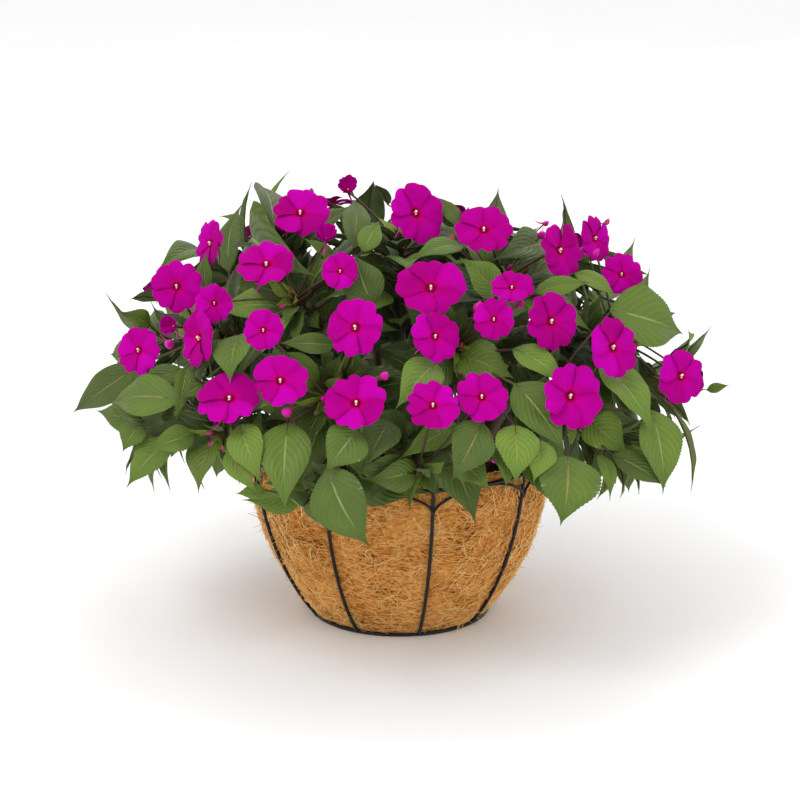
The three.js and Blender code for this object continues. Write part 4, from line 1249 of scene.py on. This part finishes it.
# Buds that show on the show side: across, up, length, ripeness from green to magenta
SHOWN_BUDS = [
    [140, 163, 12, 0.9], [143, 175, 8, 0.8], [119, 94, 10, 0.8], [76, 87, 13, 0.6], [-111, -13, 14, 0.7],
    [-51, -55, 7, 0.8], [92, -60, 7, 0.8], [50, 156, 11, 0.4], [-229, 55, 14, 1.0], [190, 142, 13, 0.9],
    [-18, 22, 12, 1.0], [262, 20, 9, 0.5], [-88, 205, 8, 0.4], [205, 175, 8, 0.5],
]
BUD_SWELL = 0.97
BUD_FOOT = 0.2
BUD_PROFILE = [[-0.02, 0], [0.06, 0.5], [0.25, 0.95], [0.45, 1.0], [0.65, 0.85], [0.85, 0.45], [1.0, 0.06]]
BUD_SLIMNESS = 0.33


def add_bud(piece, place, axis, length, ripeness, stem, keys):
    side = side_of(axis)
    fat = BUD_SLIMNESS * length
    profile = np.array(BUD_PROFILE) * [length, fat]
    profile[0, 1] = BUD_FOOT
    nature = (0.5, ripeness, 0)
    add_turned(piece, place, axis, side, profile, 12, BUD, nature, ridges=3, depth=0.09, twist=1.6)
    hub = hub_place(stem)
    reach = np.linalg.norm(place - hub)
    middle = (place + hub) / 2 + 0.18 * reach * dome_normal(place) - 0.2 * reach * axis
    line = bezier([hub, middle, place], np.linspace(0, 1, 9))
    add_tube(piece, line, 0.8, SMALL_SIDES, GREEN, (0.5, 0.6, 0))
    swing = swung(side, axis, 6.3 * draw(60, *keys))
    spur = [place + 0.2 * length * axis + 0.7 * fat * swing, place - 0.35 * length * axis + 1.6 * fat * swing,
            place - 0.3 * length * axis + 1.1 * length * swing]
    add_tube(piece, bezier(spur, np.linspace(0, 1, 8)), np.linspace(0.9, 0.35, 8), 5, BUD, nature)


def shown_buds(pieces):
    for index, (right, up, length, ripeness) in enumerate(SHOWN_BUDS):
        place = seen_at(right, up, BUD_SWELL)
        stem = nearest_stem(place)
        axis = unit(dome_normal(place) + [jitter(0.5, key, index) for key in (61, 62, 63)])
        add_bud(pieces[stem], place, axis, length, ripeness, stem, [index])


TIP_BUDS = 3
TIP_LOWEST = -40


def seen_height(places):
    return (places - SIGHT_CENTRE) @ SIGHT_UP


def bears_tip(stem):
    """Whether a shoot's tip is on the far side, or high enough on the show side to be a flowering one."""
    tip = STEM_TIPS[stem]
    return tip[1] > 0 or seen_height(tip) > TIP_LOWEST


def tip_buds(piece, stem):
    """Small buds that stand round a shoot's tip."""
    heading = stem_heading(stem, 1)
    out = across(dome_normal(STEM_TIPS[stem]), heading)
    for k, turn in enumerate(turns(TIP_BUDS)):
        keys = [70 + k, stem]
        axis = unit(heading + 0.7 * swung(out, heading, turn + jitter(0.6, *keys, 1)))
        place = hub_place(stem) + axis * (9 + 9 * draw(*keys, 2))
        add_bud(piece, place, axis, 6 + 4 * draw(*keys, 3), 0.2 + 0.6 * draw(*keys, 4), stem, keys)


# Inner and young leaves, which the solids don't have

SAMPLES_ACROSS = 5
CLEARANCE = 5.0
INNER_STEPS = (0.98, 0.93, 0.84, 0.76, 0.66, 0.56, 0.46)
INNER_ROUND = 6
INNER_ATTEMPTS = 8
INNER_PAINTED_SHADE = 0.22
FRONT_LIMIT = 0.96
BACK_LIMIT = 1.02
ABOVE_SOIL = 3
CLEAR_OF_RIM = 8
BOX_LOW, BOX_HIGH = (np.array(corner) / METRES for corner in cad_box)


def sample(leaf):
    """Places spread over a blade, to keep others clear of it."""
    u, v = np.meshgrid(np.linspace(0.12, 1, 8), np.linspace(-0.8, 0.8, SAMPLES_ACROSS), indexing="ij")
    return on_leaf(leaf, u, blade_width(u, WIDEST) * leaf.width / 2 * v, 0).reshape(-1, 3)


def inner_leaf(stem, step, place, attempt):
    at = INNER_STEPS[step]
    keys = [80 + step, stem, place]
    along = stem_heading(stem, at)
    root = on_stem(stem, at)
    turn = 2 * math.pi * (place + 0.5 * step) / INNER_ROUND + jitter(0.5, *keys, 1) + attempt * 0.35
    angle = math.radians(48 + 40 * draw(*keys, 2, attempt))
    heading = branching(along, root, turn, angle, 0.3, 0.15)
    face = upper_side(along, root, heading, jitter(0.5, *keys, 3, attempt))
    size = (50 + 34 * draw(*keys, 4)) * (1 - 0.08 * attempt)
    foot = root + heading * (6 + 10 * draw(*keys, 5))
    return make_leaf(stem, root, foot, heading, face, size, size * (0.42 + 0.1 * draw(*keys, 6)), keys)


def swell_of(places):
    return np.linalg.norm((places - DOME_CENTRE) / DOME_HALF, axis=-1)


def ball(places):
    """The middle of some places and how far they reach from it."""
    middle = places.mean(axis=0)
    return middle, np.linalg.norm(places - middle, axis=1).max()


def in_bush(places):
    """Whether a blade stays in the dome and the box, off the basket and out of the fringe in front."""
    inside = np.all(places > BOX_LOW) and np.all(places < BOX_HIGH)
    front = (places - DOME_CENTRE) / DOME_HALF**2 @ TO_EYE > 0
    above = places[:, 2] > SOIL_TOP + ABOVE_SOIL
    off_basket = np.hypot(places[:, 0], places[:, 1]) > RIM_RADIUS + CLEAR_OF_RIM
    hangs = seen_height(places).min() < FRINGE_LOWEST and places[0, 1] < 0
    in_dome = np.all(swell_of(places) <= np.where(front, FRONT_LIMIT, BACK_LIMIT))
    return inside and in_dome and np.all(above | off_basket) and not hangs


def is_clear(places, taken):
    """Whether a blade is clear of all others; its foot may be near them."""
    middle, reach = ball(places)
    for others, their_middle, their_reach in taken:
        if np.linalg.norm(middle - their_middle) > reach + their_reach + CLEARANCE:
            continue
        if np.linalg.norm(others[:, None] - places[None, SAMPLES_ACROSS:], axis=2).min() < CLEARANCE:
            return False
    return True


def inner_leaves():
    crowd = [sample(leaf) for leaf in leaves]
    turn = np.linspace(0, 2 * math.pi, 10)
    for flower in blooms:
        crowd += [on_bloom(flower, turn, share * flower.radius, 0) for share in (0.9, 0.45)]
        crowd.append(bezier(pedicel_ends(flower), np.linspace(0.1, 1, 8)))
    taken = [(places, *ball(places)) for places in crowd]
    grown = []
    for step, stem, place in itertools.product(range(len(INNER_STEPS)), range(STEMS), range(INNER_ROUND)):
        for attempt in range(INNER_ATTEMPTS):
            leaf = inner_leaf(stem, step, place, attempt)
            places = sample(leaf)
            if in_bush(places) and is_clear(places, taken):
                taken.append((places, *ball(places)))
                grown.append(leaf)
                break
    return grown


YOUNG_LEAVES = 5
YOUNG_TURN = 2.4
YOUNG_LENGTH = 16
YOUNG_GROWTH = 5.5
YOUNG_TONE = 0.8
YOUTH = 0.75


def young_leaf(stem, place):
    keys = [90 + place, stem]
    along = stem_heading(stem, 1)
    turn = place * YOUNG_TURN + jitter(0.3, *keys, 1)
    heading = branching(along, STEM_TIPS[stem], turn, math.radians(22 + 9 * place))
    root = STEM_TIPS[stem] + along
    foot = root + heading * (2 + place)
    size = YOUNG_LENGTH + YOUNG_GROWTH * place + 4 * draw(*keys, 2)
    return make_leaf(stem, root, foot, heading, across(along, heading), size, 0.4 * size, keys)


LEAF_TONE = 0.62
LOW_LEAF = 120
LEAF_HEIGHTS = 300


def leaf_tone(leaf):
    """Lower leaves are the brighter green; the tone also rises towards the dome's outside and falls deeper
    in, painted light and shade.
    """
    height = (leaf.foot[2] - LOW_LEAF) / LEAF_HEIGHTS
    # Painted light and shade: the tone rises towards the outside of the dome and falls deeper in.
    painted_depth_light = swell_of(leaf.foot) - 0.9
    return LEAF_TONE - 0.22 * height + 0.25 * painted_depth_light + jitter(0.22, 37, *leaf.keys)


JOINT_PITCH = 0.16
JOINT_SWELL = 0.5
JOINT_LENGTH = 0.02


def add_stem(piece, stem):
    """A shoot's stem, a little thicker at its joints."""
    share = np.linspace(0, 1, 22)
    radii = STEM_FOOT_RADIUS + (STEM_TIP_RADIUS - STEM_FOOT_RADIUS) * share
    off_joint = share % JOINT_PITCH - JOINT_PITCH / 2
    radii = radii + JOINT_SWELL * np.exp(-(off_joint / JOINT_LENGTH) ** 2)
    redness = 0.55 + jitter(0.25, 38, stem)
    add_tube(piece, bezier(STEM_ENDS[stem], share), radii, 12, SKIN, (0.5, redness, 0))


def plant():
    inner = inner_leaves()
    sprays = []
    for stem in range(STEMS):
        name = f"{stem + 1:02d}"
        piece = Piece(f"shoot_{name}", "leaf", LEAF_KINDS)
        add_stem(piece, stem)
        for leaf in leaves:
            if leaf.stem == stem:
                add_leaf(piece, leaf, leaf_tone(leaf))
        for leaf in inner:
            if leaf.stem == stem:
                # Inner leaves take a lower tone, painted shade deep inside the bush.
                add_leaf(piece, leaf, leaf_tone(leaf) - INNER_PAINTED_SHADE, fine=False)
        for place in range(YOUNG_LEAVES if bears_tip(stem) else 0):
            add_leaf(piece, young_leaf(stem, place), YOUNG_TONE, YOUTH, fine=False)
        piece.build(f"leafy_stem_{name}")
        sprays.append(Piece(f"spray_{name}", "petal", BLOOM_KINDS))
    for flower in blooms:
        add_bloom(sprays[flower.stem], flower)
    shown_buds(sprays)
    for stem, piece in enumerate(sprays):
        if bears_tip(stem):
            tip_buds(piece, stem)
        node = f"flower_spray_{stem + 1:02d}"
        if piece.count:
            piece.build(*([node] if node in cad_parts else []))


basket_wires()
coir_liner()
fibre = coir_fibre()
coir_fibres("coir_fibres", FIBRES, 5, fibre, FIBRE_LIFT)
coir_fibres("coir_strays", STRAYS, 6, fibre, STRAY_LIFT)
soil_bed()
plant()


# Stage, light and camera

FLOOR_REACH = 14
LIGHT_AIM = (0, 0, 0.25)
SENSOR_WIDTH = 36


def metres(place):
    return Vector([float(x) * METRES for x in place])


def floor():
    mesh = bpy.data.meshes.new("floor")
    signs = ((-1, -1), (1, -1), (1, 1), (-1, 1))
    mesh.from_pydata([(FLOOR_REACH * x, FLOOR_REACH * y, 0) for x, y in signs], [], [(0, 1, 2, 3)])
    stage = bpy.data.objects.new("floor", mesh)
    bpy.context.scene.collection.objects.link(stage)
    shader = Shader("floor_paper", Roughness=0.9, Specular_IOR_Level=0.1)
    paper = shader.ramp(shader.noise(3.0, 2.0), (0.0, 246, 246, 246), (1.0, 250, 250, 250))
    mesh.materials.append(shader.finish(paper))


def softbox(name, place, width, watts):
    light = bpy.data.lights.new(name, "AREA")
    light.shape = "DISK"
    light.size = width
    light.energy = watts
    lamp = bpy.data.objects.new(name, light)
    bpy.context.scene.collection.objects.link(lamp)
    lamp.location = place
    lamp.rotation_euler = (Vector(LIGHT_AIM) - Vector(place)).to_track_quat("-Z", "Y").to_euler()


def lights():
    world = bpy.data.worlds.new("studio")
    world.use_nodes = True
    sky = world.node_tree.nodes["Background"]
    sky.inputs["Color"].default_value = (1, 1, 1, 1)
    sky.inputs["Strength"].default_value = 1.0
    bpy.context.scene.world = world
    softbox("key", (-1.4, -2.0, 3.0), 1.6, 42)
    softbox("fill", (2.4, -2.2, 1.8), 1.8, 10)
    softbox("back", (0.6, 2.4, 2.6), 1.6, 16)


def camera():
    scene = bpy.context.scene
    data = bpy.data.cameras.new("camera")
    data.sensor_width = SENSOR_WIDTH
    data.lens = SENSOR_WIDTH * SIGHT_DISTANCE / SIGHT_WIDTH
    eye = bpy.data.objects.new("camera", data)
    scene.collection.objects.link(eye)
    eye.location = metres(EYE)
    eye.rotation_euler = (metres(SIGHT_CENTRE) - metres(EYE)).to_track_quat("-Z", "Y").to_euler()
    scene.camera = eye


floor()
lights()
camera()
bpy.context.scene.view_settings.view_transform = "Standard"
